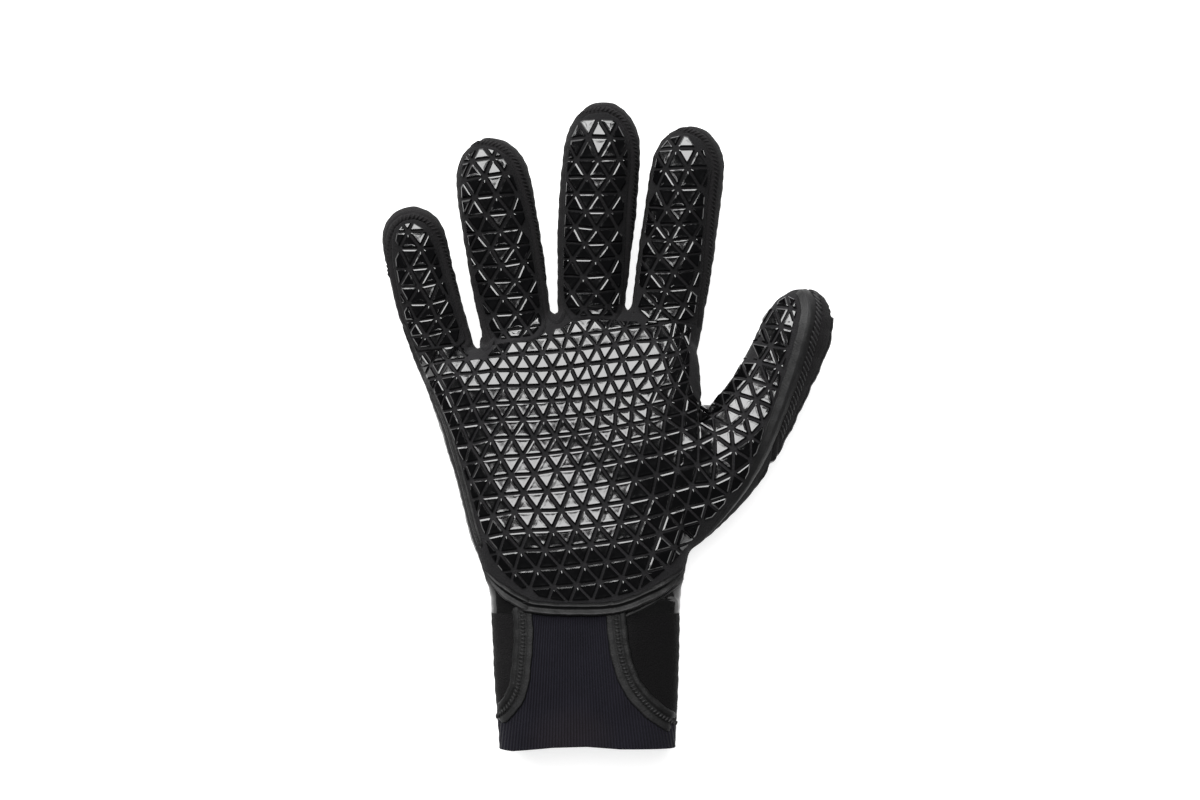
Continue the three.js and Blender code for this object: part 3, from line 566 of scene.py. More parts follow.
def strip(flat, width, profile, tapers=(2.0, 2.0)):
    """A strip along a path: corners, faces and the painted shade and highlight of each corner from its
    profile.
    """
    spine, out, across, run = path_on_skin(flat)
    table = np.array(profile)
    u = np.linspace(1, -1, 21)
    lift = np.concatenate([np.interp(u, table[:, 0], table[:, 1]), [-0.5, -0.6, -0.5]])
    shade = np.concatenate([np.interp(u, table[:, 0], table[:, 2]), [0, 0, 0]])
    u = np.concatenate([u, [-0.7, 0, 0.7]])
    rings = []
    for k, at in enumerate(run):
        end = min(1, 0.25 + at / tapers[0], 0.25 + (run[-1] - at) / tapers[1])
        wide = width / 2 * end * (1 + 0.03 * math.sin(0.7 * at) + 0.02 * math.sin(1.9 * at + 1))
        high = end * (1 + 0.08 * math.sin(0.9 * at + 2) + 0.06 * math.sin(2.3 * at))
        rings.append(spine[k] + np.outer(u * wide, across[k]) + np.outer(lift * high, out[k]))
    corners, faces = lofted(rings)
    shades = np.concatenate([np.tile(shade, len(rings)), [0, 0]])
    return corners, faces, shades


def merged(pieces):
    """One set of corners, faces and shades from several."""
    corners, faces, shades, start = [], [], [], 0
    for piece_corners, piece_faces, piece_shades in pieces:
        faces += [tuple(start + i for i in face) for face in piece_faces]
        start += len(piece_corners)
        corners.append(piece_corners)
        shades.append(piece_shades)
    return np.concatenate(corners), faces, np.concatenate(shades)


# The tree for a row of stitches: a bead of thread at each even step of a path
STITCH_SIZES = ("Spacing", "Turn", "Length", "Width", "Height")
stitch_tree = bpy.data.node_groups.new("row_of_stitches", "GeometryNodeTree")
stitch_tree.interface.new_socket("Geometry", in_out="INPUT", socket_type="NodeSocketGeometry")
for size in STITCH_SIZES:
    stitch_tree.interface.new_socket(size, in_out="INPUT", socket_type="NodeSocketFloat")
stitch_tree.interface.new_socket("Thread", in_out="INPUT", socket_type="NodeSocketMaterial")
stitch_tree.interface.new_socket("Geometry", in_out="OUTPUT", socket_type="NodeSocketGeometry")
stitch_nodes = Nodes(stitch_tree)
stitch_given = stitch_nodes.add("NodeGroupInput").socket.node
stitch_in = {size: Socket(stitch_nodes, stitch_given.outputs[size]) for size in STITCH_SIZES}
row = stitch_nodes.add("GeometryNodeMeshToCurve", None, {
    "Mesh": Socket(stitch_nodes, stitch_given.outputs["Geometry"]),
})
row = stitch_nodes.add("GeometryNodeResampleCurve", {"mode": "LENGTH"}, {
    "Curve": row, "Length": stitch_in["Spacing"],
})
out_of_skin = stitch_nodes.add(
    "GeometryNodeInputNamedAttribute", {"data_type": "FLOAT_VECTOR"}, {"Name": "out"}
)
along_row = stitch_nodes.add("GeometryNodeInputTangent")
facing_out = stitch_nodes.add(
    "FunctionNodeAxesToRotation", {"primary_axis": "Z", "secondary_axis": "X"},
    {"Primary Axis": out_of_skin, "Secondary Axis": along_row},
)
turn_angles = stitch_nodes.add("ShaderNodeCombineXYZ", None, {"Z": stitch_in["Turn"]})
turned_by = stitch_nodes.add("FunctionNodeEulerToRotation", None, {0: turn_angles})
facing_out = stitch_nodes.add("FunctionNodeRotateRotation", {"rotation_space": "LOCAL"}, {
    "Rotation": facing_out, "Rotate By": turned_by,
})
bead = stitch_nodes.add("GeometryNodeMeshUVSphere", None, {"Segments": 8, "Rings": 5, "Radius": 1.0})
bead_size = stitch_nodes.add("ShaderNodeCombineXYZ", None, {
    "X": stitch_in["Length"], "Y": stitch_in["Width"], "Z": stitch_in["Height"],
})
row = stitch_nodes.add("GeometryNodeInstanceOnPoints", None, {
    "Points": row, "Instance": bead, "Rotation": facing_out, "Scale": bead_size,
})
row = stitch_nodes.add("GeometryNodeRealizeInstances", None, {"Geometry": row})
row = stitch_nodes.add("GeometryNodeSetMaterial", None, {
    "Geometry": row, "Material": Socket(stitch_nodes, stitch_given.outputs["Thread"]),
})
stitch_nodes.add("NodeGroupOutput", None, {"Geometry": row})


def on_top(flat, least=0.3):
    """The longest stretch of a path that lies on skin facing upwards."""
    best, stretch = [], []
    for x, y in flat:
        hit, normal, _, _ = form_tree.ray_cast(Vector((x, y, DROP_FROM)), Vector((0, 0, -1)))
        if hit is not None and normal[2] > least:
            stretch.append((x, y))
        else:
            stretch = []
        if len(stretch) > len(best):
            best = list(stretch)
    return np.array(best)


def moved_aside(flat, distance, step=1.5):
    """A path in even steps, moved sideways to its right by a distance."""
    run = np.concatenate([[0], np.cumsum(np.hypot(*np.diff(flat, axis=0).T))])
    even = np.arange(0, run[-1], step)
    flat = smoothed(np.stack([np.interp(even, run, flat[:, k]) for k in range(2)], 1), 6)
    ways = np.gradient(flat, axis=0)
    ways /= np.linalg.norm(ways, axis=1)[:, None]
    return flat + np.stack([ways[:, 1], -ways[:, 0]], 1) * distance


def stitches(flat, sizes, thread, aside=0.0, lift=0.0, shade=1.0):
    """A row of small raised stitches along a path, each turned from it by an angle and given a painted
    shade.
    """
    spacing, turn, length, width, height = sizes
    spine, out, across, run = path_on_skin(on_top(moved_aside(flat, aside)))
    spine = spine + out * lift
    mesh = bpy.data.meshes.new("stitch_row")
    edges = [(k, k + 1) for k in range(len(spine) - 1)]
    mesh.from_pydata((spine / 1000).tolist(), edges, [])
    mesh.attributes.new("out", "FLOAT_VECTOR", "POINT").data.foreach_set("vector", out.ravel())
    thing = bpy.data.objects.new("stitch_row", mesh)
    bpy.context.collection.objects.link(thing)
    sewn = thing.modifiers.new("sew", "NODES")
    sewn.node_group = stitch_tree
    metres = (spacing / 1000, math.radians(turn), length / 2000, width / 2000, height / 1000)
    by_name = dict(zip(STITCH_SIZES, metres), Thread=thread)
    for socket in stitch_tree.interface.items_tree:
        if socket.item_type == "SOCKET" and socket.in_out == "INPUT" and socket.name in by_name:
            sewn[socket.identifier] = by_name[socket.name]
    made = plain_mesh(thing, "stitches")
    bpy.data.objects.remove(thing)
    corners = np.empty(len(made.vertices) * 3)
    made.vertices.foreach_get("co", corners)
    faces = [tuple(face.vertices) for face in made.polygons]
    return corners.reshape(-1, 3) * 1000, faces, np.full(len(made.vertices), shade)


def shaded_mesh(name, pieces, material):
    """A mesh in metres with a shade stored on each corner."""
    corners, faces, shades = merged(pieces)
    mesh = bpy.data.meshes.new(name)
    mesh.from_pydata((corners / 1000).tolist(), [], faces)
    mesh.attributes.new("shade", "FLOAT", "POINT").data.foreach_set("value", shades.astype(np.float32))
    mesh.polygons.foreach_set("use_smooth", np.ones(len(mesh.polygons), dtype=bool))
    mesh.materials.append(material)
    return mesh


# The panels: jersey-faced palm and finger fronts, darker bands round the sides, smooth embossed
# skin on the back, and a cuff of two jerseys. Each is cut from neoprene 4 mm thick, 3 mm in the
# cuff, glued edge to edge and blind-stitched, which leaves a fine furrow along each seam.

# Borders of the grip fields, in pixels. The seams of the fingers follow them a little outside.
GRIP_BORDERS = {
    "palm": (
        (417, 352), (430, 350), (446, 349), (462, 346), (468, 354), (476, 361), (488, 360),
        (494, 351), (500, 344), (532, 343), (543, 338), (549, 331), (562, 330), (568, 323),
        (576, 321), (613, 321), (622, 323), (634, 323), (690, 325), (688, 350), (687, 380),
        (693, 400), (704, 411), (712, 405), (722, 391), (735, 371), (745, 352), (756, 331),
        (766, 315), (777, 302), (787, 296), (793, 299), (794, 312), (790, 326), (786, 345),
        (781, 365), (776, 385), (770, 402), (764, 420), (758, 440), (752, 458), (745, 475),
        (734, 490), (715, 510), (690, 539), (667, 564), (643, 583), (614, 595), (560, 597),
        (528, 589), (502, 566), (491, 549), (484, 524), (476, 500), (468, 472), (460, 447),
        (449, 420), (438, 394), (425, 370),
    ),
    "little": (
        (396, 240), (399, 231), (406, 225), (415, 223), (425, 227), (432, 237), (438, 250),
        (442, 266), (447, 284), (453, 305), (460, 325), (464, 340), (458, 345), (440, 347),
        (420, 349), (414, 342), (409, 328), (405, 314), (402, 297), (399, 280), (396, 262),
    ),
    "ring": (
        (462, 172), (466, 160), (474, 152), (484, 150), (496, 153), (506, 160), (514, 176),
        (520, 194), (525, 212), (529, 231), (532, 250), (536, 272), (539, 292), (542, 312),
        (543, 326), (538, 335), (530, 339), (510, 340), (495, 340), (489, 326), (484, 308),
        (478, 288), (473, 266), (469, 242), (465, 218), (462, 196),
    ),
    "middle": (
        (572, 134), (580, 124), (590, 119), (606, 118), (616, 124), (624, 137), (628, 150),
        (628, 168), (626, 190), (624, 215), (623, 240), (622, 265), (621, 290), (619, 309),
        (613, 317), (573, 317), (566, 309), (563, 290), (563, 265), (564, 240), (565, 215),
        (566, 190), (567, 170), (569, 152),
    ),
    "index": (
        (656, 158), (661, 146), (671, 139), (686, 137.5), (698, 144), (706, 159), (708, 174),
        (705.5, 190), (704, 206), (703, 223), (702, 240), (701, 256), (700, 272), (698, 290),
        (696, 306), (693, 324), (641, 324), (637, 312), (637, 298), (639, 278), (641, 259),
        (643, 243), (645, 228), (647.5, 211), (650, 191), (653, 174),
    ),
}
HAND_WALL = 3.8
CUFF_WALL = 2.9
# Furrows along the seams of a finger: distance from the seam, half width and depth
FURROWS = ((0.0, 0.9, 0.9), (-2.3, 0.6, 0.35))
FRONT_MARGIN = 1.5
# The back seams lie at these angles round a finger and round the thumb
BACK_SEAM_ANGLES = ((200, 340), (200, 337))
TIP_SEAM = 0.94
PALM_WRAP = 9.0
THUMB_WRAP = 2.0
INDEX_OVERLAP = 30
INDEX_FOOT = 315
CROTCHES = ((407, 349), (482, 347), (553, 316), (627, 311), (704, 407))
SLOT_TOPS = ((443, 212), (544, 176), (645, 176), (740, 250))
INDEX_ROOT = (705, 328)
THUMB_ROOT = (760, 482)
PALM_EDGE = (
    (398, 300), (398, 322), (407, 346), (422, 378), (434, 404), (444, 428), (450, 452),
    (458, 476), (464, 500), (470, 524), (478, 548), (485, 572), (493, 600), (497, 660),
    (690, 660), (694, 566), (728, 530), (764, 492), (771, 461), (773, 432), (780, 403),
    (791, 371), (800, 333), (807, 306), (800, 288), (760, 240), (722, 330), (704, 404),
    (704, 396), (702, 372), (704, 330), (708, 300),
)
WRIST_LINE = (
    (470, 548), (480, 562), (500, 584), (525, 603), (570, 606), (613, 606), (650, 592),
    (685, 566), (703, 541), (720, 515),
)
INSERT_EDGE = (
    (523, 540), (524, 640), (521, 682), (511, 700), (494, 716), (470, 724), (470, 800),
    (710, 800), (710, 728), (677, 722), (655, 711), (638, 694), (624, 673), (617, 640),
    (615, 540),
)
HEM_LINE = (
    (460, 744.5), (501, 745.5), (513, 746.5), (553, 742.5), (587, 741.5), (620, 744), (720, 744.5),
)


def within(points, pixels):
    """Distance of points from the edge of a closed outline, positive inside it."""
    outline = places(pixels)
    inside = np.zeros(len(points), dtype=bool)
    nearest = np.full(len(points), 1e9)
    x, y = points[:, 0], points[:, 1]
    for (ax, ay), (bx, by) in zip(outline, np.roll(outline, -1, axis=0)):
        across = ((ay > y) != (by > y)) & (x < (bx - ax) * (y - ay) / (by - ay + 1e-12) + ax)
        inside ^= across
        t = ((x - ax) * (bx - ax) + (y - ay) * (by - ay)) / ((bx - ax) ** 2 + (by - ay) ** 2)
        t = np.clip(t, 0, 1)
        nearest = np.minimum(nearest, np.hypot(x - ax - t * (bx - ax), y - ay - t * (by - ay)))
    return np.where(inside, nearest, -nearest)


def along_stall(points, name):
    """Distance along a stall from its root, and angle round it, of points near it."""
    ats = np.linspace(sections_of(name)["at"][0], 1, 60)
    frames = [stall_frame(name, at) for at in ats]
    middles = np.array([f[0] for f in frames])
    near = np.argmin(((points[:, None, :] - middles[None]) ** 2).sum(2), axis=1)
    side = np.array([f[1] for f in frames])[near]
    normal = np.array([f[2] for f in frames])[near]
    way = np.array([f[3] for f in frames])[near]
    half = np.maximum(np.array([f[4] for f in frames])[near], 4)
    off = points - middles[near]
    run = ats[near] * STALLS[name][0] + (off * way).sum(1)
    angle = np.degrees(np.arctan2((off * normal).sum(1) / FLATNESS, (off * side).sum(1))) % 360
    return run, angle, half


def score(points, corners, column, level=0.0, only=None):
    """Splits the triangles along the line where a column of the points crosses a level."""
    value = points[:, column] - level
    value = np.where(np.abs(value) < 0.02, 0.02, value)
    above = value[corners] > 0
    count = above.sum(1)
    split = (count > 0) & (count < 3)
    if only is not None:
        split &= (points[:, only][corners] > -2).any(1)
    chosen = corners[split]
    ups = above[split]
    lone = np.where(ups.sum(1) == 1, np.argmax(ups, axis=1), np.argmin(ups, axis=1))
    rows = np.arange(len(chosen))
    a, b, c = (chosen[rows, (lone + k) % 3] for k in range(3))
    edges = np.concatenate([np.sort(np.stack([a, b], 1), 1), np.sort(np.stack([a, c], 1), 1)])
    unique, index = np.unique(edges, axis=0, return_inverse=True)
    index = index.reshape(-1)
    share = value[unique[:, 0]] / (value[unique[:, 0]] - value[unique[:, 1]])
    new = points[unique[:, 0]] + share[:, None] * (points[unique[:, 1]] - points[unique[:, 0]])
    new[:, column] = level
    ab, ac = index[: len(a)] + len(points), index[len(a):] + len(points)
    pieces = [np.stack([a, ab, ac], 1), np.stack([ab, b, c], 1), np.stack([ab, c, ac], 1)]
    return np.concatenate([points, new]), np.concatenate([corners[~split]] + pieces)


# How far each point of the skin is inside the panel, or past the seam, of that name
inside = {}
wrist = places(WRIST_LINE)
inside["hand"] = skin[:, 1] - np.interp(skin[:, 0], wrist[:, 0], wrist[:, 1])
hem = places(HEM_LINE)
inside["hem"] = skin[:, 1] - np.interp(skin[:, 0], hem[:, 0], hem[:, 1])
roots = [place(*p) for p in CROTCHES]
slots = [place(*p) for p in SLOT_TOPS]
slot_sides = [beside(skin, roots[k + 1], slots[k]) for k in range(4)]
ends = (roots[1], roots[2], roots[3], place(*INDEX_ROOT), place(*THUMB_ROOT))
for k, name in enumerate(STALLS):
    limits = [beside(skin, roots[k], ends[k])]
    if k > 0:
        limits.append(-slot_sides[k - 1])
    if k < 4:
        limits.append(slot_sides[k])
    inside[name] = np.minimum.reduce(limits)
inside["palm"] = np.minimum(within(skin, PALM_EDGE), skin[:, 2] - WAIST_HEIGHT + PALM_WRAP)
for name in STALLS:
    run, angle, half = along_stall(skin, name)
    back_low, back_high = BACK_SEAM_ANGLES[name == "thumb"]
    arc = half * math.pi / 180
    tip = TIP_SEAM * STALLS[name][0] - run
    if name == "thumb":
        front = np.minimum(within(skin, PALM_EDGE), skin[:, 2] - WAIST_HEIGHT + THUMB_WRAP)
    else:
        border = GRIP_BORDERS[name]
        if name == "index":
            border = [(px, py + INDEX_OVERLAP * (py > INDEX_FOOT)) for px, py in border]
        front = within(skin, border) + FRONT_MARGIN
        front = np.minimum(front, np.sin(np.radians(angle)) * half)
        if name != "index":
            inside[name] = np.maximum(inside[name], front)
    inside[name + "_front"] = front
    sides = [(angle - back_low) * arc, (back_high - angle) * arc]
    inside[name + "_back"] = np.minimum.reduce([*sides, tip])
inside["insert"] = np.minimum(within(skin, INSERT_EDGE), skin[:, 2] - WAIST_HEIGHT)

# One sheet of numbers carries them all through the cutting: place, normal, then each of these
columns = {name: 6 + k for k, name in enumerate(inside)}
points = np.column_stack([skin, normals, *inside.values()])
corners = triangles

for name in ("hand", "little", "ring", "middle", "index", "thumb", "palm", "insert"):
    points, corners = score(points, corners, columns[name])
for name in STALLS:
    for end in ("_front", "_back"):
        for middle, width, deep in FURROWS:
            for level in (middle - width, middle, middle + width):
                points, corners = score(points, corners, columns[name + end], level, columns[name])
points, corners = score(points, corners, columns["hem"])


def value(name):
    return points[:, columns[name]]


depth = np.zeros(len(points))
for name in STALLS:
    for end in ("_front", "_back"):
        for middle, width, deep in FURROWS:
            near = np.clip(1 - np.abs(value(name + end) - middle) / width, 0, 1)
            depth = np.maximum(depth, near * (value(name) > -width) * deep)
outer = points[:, :3] - points[:, 3:6] * depth[:, None]
wall = np.where(value("hand") > 0, HAND_WALL, CUFF_WALL)
inner = points[:, :3] - points[:, 3:6] * wall[:, None]

middle_value = {name: points[:, k][corners].mean(1) for name, k in columns.items()}
is_hand = middle_value["hand"] > 0
is_cuff = ~is_hand & (middle_value["hem"] > 0)
panel_of = np.full(len(corners), "", dtype=object)
panel_of[is_cuff] = "cuff_sides"
panel_of[is_cuff & (middle_value["insert"] > 0)] = "cuff_gusset"
panel_of[is_hand] = "hand_back"
panel_of[is_hand & (middle_value["palm"] > 0)] = "palm_face"
for name in STALLS:
    of_stall = is_hand & (middle_value[name] > 0)
    panel_of[of_stall] = name + "_side_band"
    panel_of[of_stall & (middle_value[name + "_back"] > 0)] = name + "_back_side"
    panel_of[of_stall & (middle_value[name + "_front"] > 0)] = name + "_palm_side"


def patches(labels):
    """The connected patches of triangles with one label, each with the labels round it."""
    waiting = {}
    neighbours = [[] for _ in labels]
    for face, (a, b, c) in enumerate(corners.tolist()):
        for edge in ((a, b), (b, c), (c, a)):
            other = waiting.pop(edge[::-1], None)
            if other is None:
                waiting[edge] = face
            else:
                neighbours[face].append(other)
                neighbours[other].append(face)
    seen = np.zeros(len(labels), dtype=bool)
    for first in range(len(labels)):
        if not seen[first]:
            seen[first] = True
            patch, around = [first], []
            for face in patch:
                for other in neighbours[face]:
                    if labels[other] != labels[first]:
                        around.append(labels[other])
                    elif not seen[other]:
                        seen[other] = True
                        patch.append(other)
            yield patch, around


# Offcuts smaller than a fingernail belong to the panel round them
OFFCUT = 150
for patch, around in list(patches(panel_of)):
    if len(patch) < OFFCUT and around:
        panel_of[patch] = max(set(around), key=around.count)


def fitted(name, mesh, node):
    """A finished piece on the glove, in place of its solid."""
    piece = bpy.data.objects.new(name, mesh)
    bpy.context.collection.objects.link(piece)
    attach(piece, "root")
    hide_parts(node)


def panel_piece(name, material, node, extras=()):
    """A panel of neoprene: its outer face, its inner face, the edge between, and its extras."""
    faces = corners[panel_of == name]
    used, index = np.unique(faces, return_inverse=True)
    faces = index.reshape(-1, 3)
    count = len(used)
    edges = np.concatenate([faces[:, [0, 1]], faces[:, [1, 2]], faces[:, [2, 0]]])
    both = {tuple(e) for e in edges.tolist()}
    rim = np.array([e for e in both if (e[1], e[0]) not in both])
    a, b = rim[:, 0], rim[:, 1]
    walls = np.stack([b, a, a + count, b + count], 1)
    panel_corners = np.concatenate([outer[used], inner[used]])
    face_list = faces.tolist() + (faces[:, ::-1] + count).tolist() + walls.tolist()
    mesh = shaded_mesh(name, [(panel_corners, face_list, np.zeros(2 * count)), *extras], material)
    smooth = np.ones(len(mesh.polygons), dtype=bool)
    smooth[2 * len(faces):len(face_list)] = False
    mesh.polygons.foreach_set("use_smooth", smooth)
    fitted(name, mesh, node)


# The faces of the neoprene: a charcoal jersey on the palm side, a darker one round the fingers
# and the cuff, a ribbed blue-black one under the wrist, and glossy embossed skin on the back.
RIB_PITCH = 0.95
RIB_FAN = 0.0058
RIB_MIDDLE = -15.0
# Where painted shade darkens the palm jersey up the fingers, and where the side jersey turns from
# cuff to hand and, with painted shade, from left to right: place and width of the change, in mm
FINGER_SHADE_FROM = (34.0, 12.0)
THUMB_FROM = (50.0, 4.0)
HAND_FROM = (-70.0, 8.0)
RIGHT_SHADE_FROM = (5.0, 8.0)
GLOSSY_FROM = (-76.5, 0.5)
HEM_GLOW = (place(572, 733), 20.0)
HEM_BROWN = (2.8, 2.2, 1.5)


def dyed(colour, strength):
    return tuple(c * strength for c in colour) + (1,)


def past(at, change):
    """Rises from 0 to 1 where a coordinate passes a place, over a width."""
    start, width = change
    return ((at - start) / width).clamped()


def jersey(name, colour, contrast, speckle=0.0, ribbed=False, worn_and_shaded=False, fingers=False):
    """Knitted nylon: a fine matt knit with cloudy tone and pale flecks, and ribs on the cuff.
    It has painted shade up the fingers of the palm side and on the cuff's right side, and is paler on
    the finger sides from wear."""
    material, nodes, sockets = finish_of(
        name, Roughness=0.85, Sheen_Weight=0.02, Sheen_Roughness=0.5, Specular_IOR_Level=0.06,
        Coat_Roughness=0.15,
    )
    spot = object_place(nodes)
    cloud = nodes.noise(spot, 0.09, 4.0)
    knit = nodes.add("ShaderNodeTexVoronoi", None, {"Vector": spot, "Scale": 1.7})
    fleck = nodes.noise(spot, 2.6)
    tone = cloud * 0.7 + fleck * 0.7 - knit * 0.3 - 0.05
    tone = tone + (fleck * 9.0 - 5.2).clamped() * speckle
    height = fleck * 0.4 - knit * 0.6
    x, y, _ = parted(nodes, spot)
    if ribbed:
        spread = 1.0 - (y - WRIST_AT[1]) * RIB_FAN
        rib = ((x - RIB_MIDDLE) / spread * (2 * math.pi / RIB_PITCH)).math("SINE")
        height = height * 0.35 + rib * 0.6
        # Painted shade across the ribs: each rib is painted lighter on its crest and darker in its
        # groove
        tone = tone + rib * 0.3
    paint = nodes.mixed(tone.clamped(), dyed(colour, 1 - contrast), dyed(colour, 1 + contrast))
    # Painted shade: the palm jersey is darkened up the fingers, where the light falls off
    if fingers:
        finger_shade = past(y, FINGER_SHADE_FROM) * (1.0 - past(x, THUMB_FROM))
        paint = nodes.mixed(finger_shade * 0.75, paint, dyed(colour, 0.45))
    if worn_and_shaded:
        on_hand = past(y, HAND_FROM)
        # Painted shade: the cuff's side jersey is darkened on its right side
        right_shade = past(x, RIGHT_SHADE_FROM) * (1.0 - on_hand)
        paint = nodes.mixed(on_hand * 0.7, paint, dyed(colour, 2.6))
        paint = nodes.mixed(right_shade * 0.8, paint, dyed(colour, 0.45))
        # A strip of glossy skin shows beside the wrist, under the welt
        skin_edge = past(y, GLOSSY_FROM) * (1.0 - on_hand)
        paint = nodes.mixed(skin_edge * 0.9, paint, (0.001, 0.001, 0.001, 1))
        connect(nodes, skin_edge * 0.8, sockets["Coat Weight"])
    if ribbed:
        (glow_x, glow_y), radius = HEM_GLOW
        off_x, off_y = x - glow_x, y - glow_y
        glow = 1.0 - (off_x * off_x + off_y * off_y * 2.0) / (radius * radius)
        brown = tuple(c * k for c, k in zip(colour, HEM_BROWN)) + (1,)
        paint = nodes.mixed(glow.math("MAXIMUM", 0.0) * 0.25, paint, brown)
    connect(nodes, paint, sockets["Base Color"])
    connect(nodes, nodes.bump(height, 0.8, 0.0005), sockets["Normal"])
    return material


# The palm jersey carries painted shade up the fingers
palm_jersey = jersey("palm_jersey", (0.0118, 0.0115, 0.0122), 0.55, fingers=True)
# The side jersey is paler on the hand and carries painted shade on the cuff's right side
side_jersey = jersey("side_jersey", (0.0042, 0.0040, 0.0042), 0.7, 1.0, worn_and_shaded=True)
cuff_jersey = jersey("cuff_jersey", (0.0066, 0.0062, 0.0092), 0.45, 0.3, True)

# The skin of the back is embossed with three sets of lines: direction, and lean on the sides
EMBOSSED_LINES = ((3, 0.8), (63, -0.9), (123, 0.5))
EMBOSS_PITCH = 8.5
back_skin, skin_nodes, skin_sockets = finish_of("back_skin", Roughness=0.28, Specular_IOR_Level=0.28)
skin_spot = object_place(skin_nodes)
skin_cloud = skin_nodes.noise(skin_spot, 0.5, 4.0)
connect(
    skin_nodes,
    skin_nodes.mixed(skin_cloud, (0.004, 0.004, 0.004, 1), (0.009, 0.009, 0.009, 1)),
    skin_sockets["Base Color"],
)
skin_x, skin_y, skin_z = parted(skin_nodes, skin_spot)
emboss = None
for degrees, up_wall in EMBOSSED_LINES:
    turned = skin_x * math.sin(math.radians(degrees)) + skin_y * math.cos(math.radians(degrees))
    turned = turned + skin_z * up_wall
    line = (turned / EMBOSS_PITCH).math("PINGPONG", 0.5)
    ridge = (line * 9.0).math("MINIMUM", 1.0)
    emboss = ridge if emboss is None else emboss.math("MINIMUM", ridge)
skin_relief = skin_nodes.bump(emboss + skin_cloud * 0.25, 0.9, 0.0005)
connect(skin_nodes, skin_relief, skin_sockets["Normal"])

# Profiles of what is laid on the skin: place across it, height, and shade of the cloth, partly its own
# tone and partly painted highlight on the ridges and painted shade in the grooves
FOLD_PROFILE = ((-1, 0, .2), (-.5, .75, .8), (.1, 1.1, 1), (.6, .55, .5), (1, 0, .2))
CROTCH_FOLDS = (
    ((549, 312), (551, 320), (555, 326), (559, 327), (562, 321), (564, 312)),
    ((478, 338), (480, 346), (484, 353), (488, 354), (492, 348), (494, 339)),
)
FOLD_WIDTH = 2.2
# Stitches: spacing, turn from the row in degrees, length, width and height
BAND_STITCHES = (1.7, 62, 3.2, 0.8, 0.42)
BAND_ASIDE = 3.4
BAND_LIFT = 0.05


def over_tip(name, distance):
    """The border of a finger's grips moved outwards, from root over the tip to root."""
    ring = places(GRIP_BORDERS[name])
    ring = np.roll(ring, -int(np.argmin(ring[:, 1])), axis=0)
    run = np.concatenate([[0], np.cumsum(np.hypot(*np.diff(ring, axis=0).T))])
    even = np.arange(0, run[-1], 2.0)
    ring = moved_aside(np.stack([np.interp(even, run, ring[:, k]) for k in range(2)], 1), -distance)
    return ring[ring[:, 1] > ring[:, 1].min() + 9]


folds = [strip(places(path), FOLD_WIDTH, FOLD_PROFILE) for path in CROTCH_FOLDS]
panel_piece("palm_face", palm_jersey, "palm_panel", folds)
panel_piece("hand_back", back_skin, "back_panel")
for name in STALLS:
    hatching = []
    if name != "thumb":
        hatching = [stitches(over_tip(name, BAND_ASIDE), BAND_STITCHES, side_jersey, lift=BAND_LIFT)]
    panel_piece(name + "_palm_side", palm_jersey, name + "_front")
    panel_piece(name + "_side_band", side_jersey, name + "_band", hatching)
    panel_piece(name + "_back_side", back_skin, name + "_back")
panel_piece("cuff_gusset", cuff_jersey, "cuff_insert")
panel_piece("cuff_sides", side_jersey, "cuff_wrap")


# The grips: about 670 small triangles of glossy rubber, moulded on the jersey in a close
# triangular pattern with a broad bevel and a slightly dished top. The pattern leans with the
# hand, bends into the thumb, and is cut off along the border of each field.
TILE_BASE = 0.79
TILE_WALL = 0.70
TILE_BEVEL = 0.30
TILE_TOP = 0.75
TILE_DISH = 0.03
TILE_SUNK = 0.35
TILE_CORNER = 0.05
SMALLEST_TILE = 2.0
FINGER_INSET = 0.6
ROW_STEP = 0.87
PATTERN_SLACK = 0.3

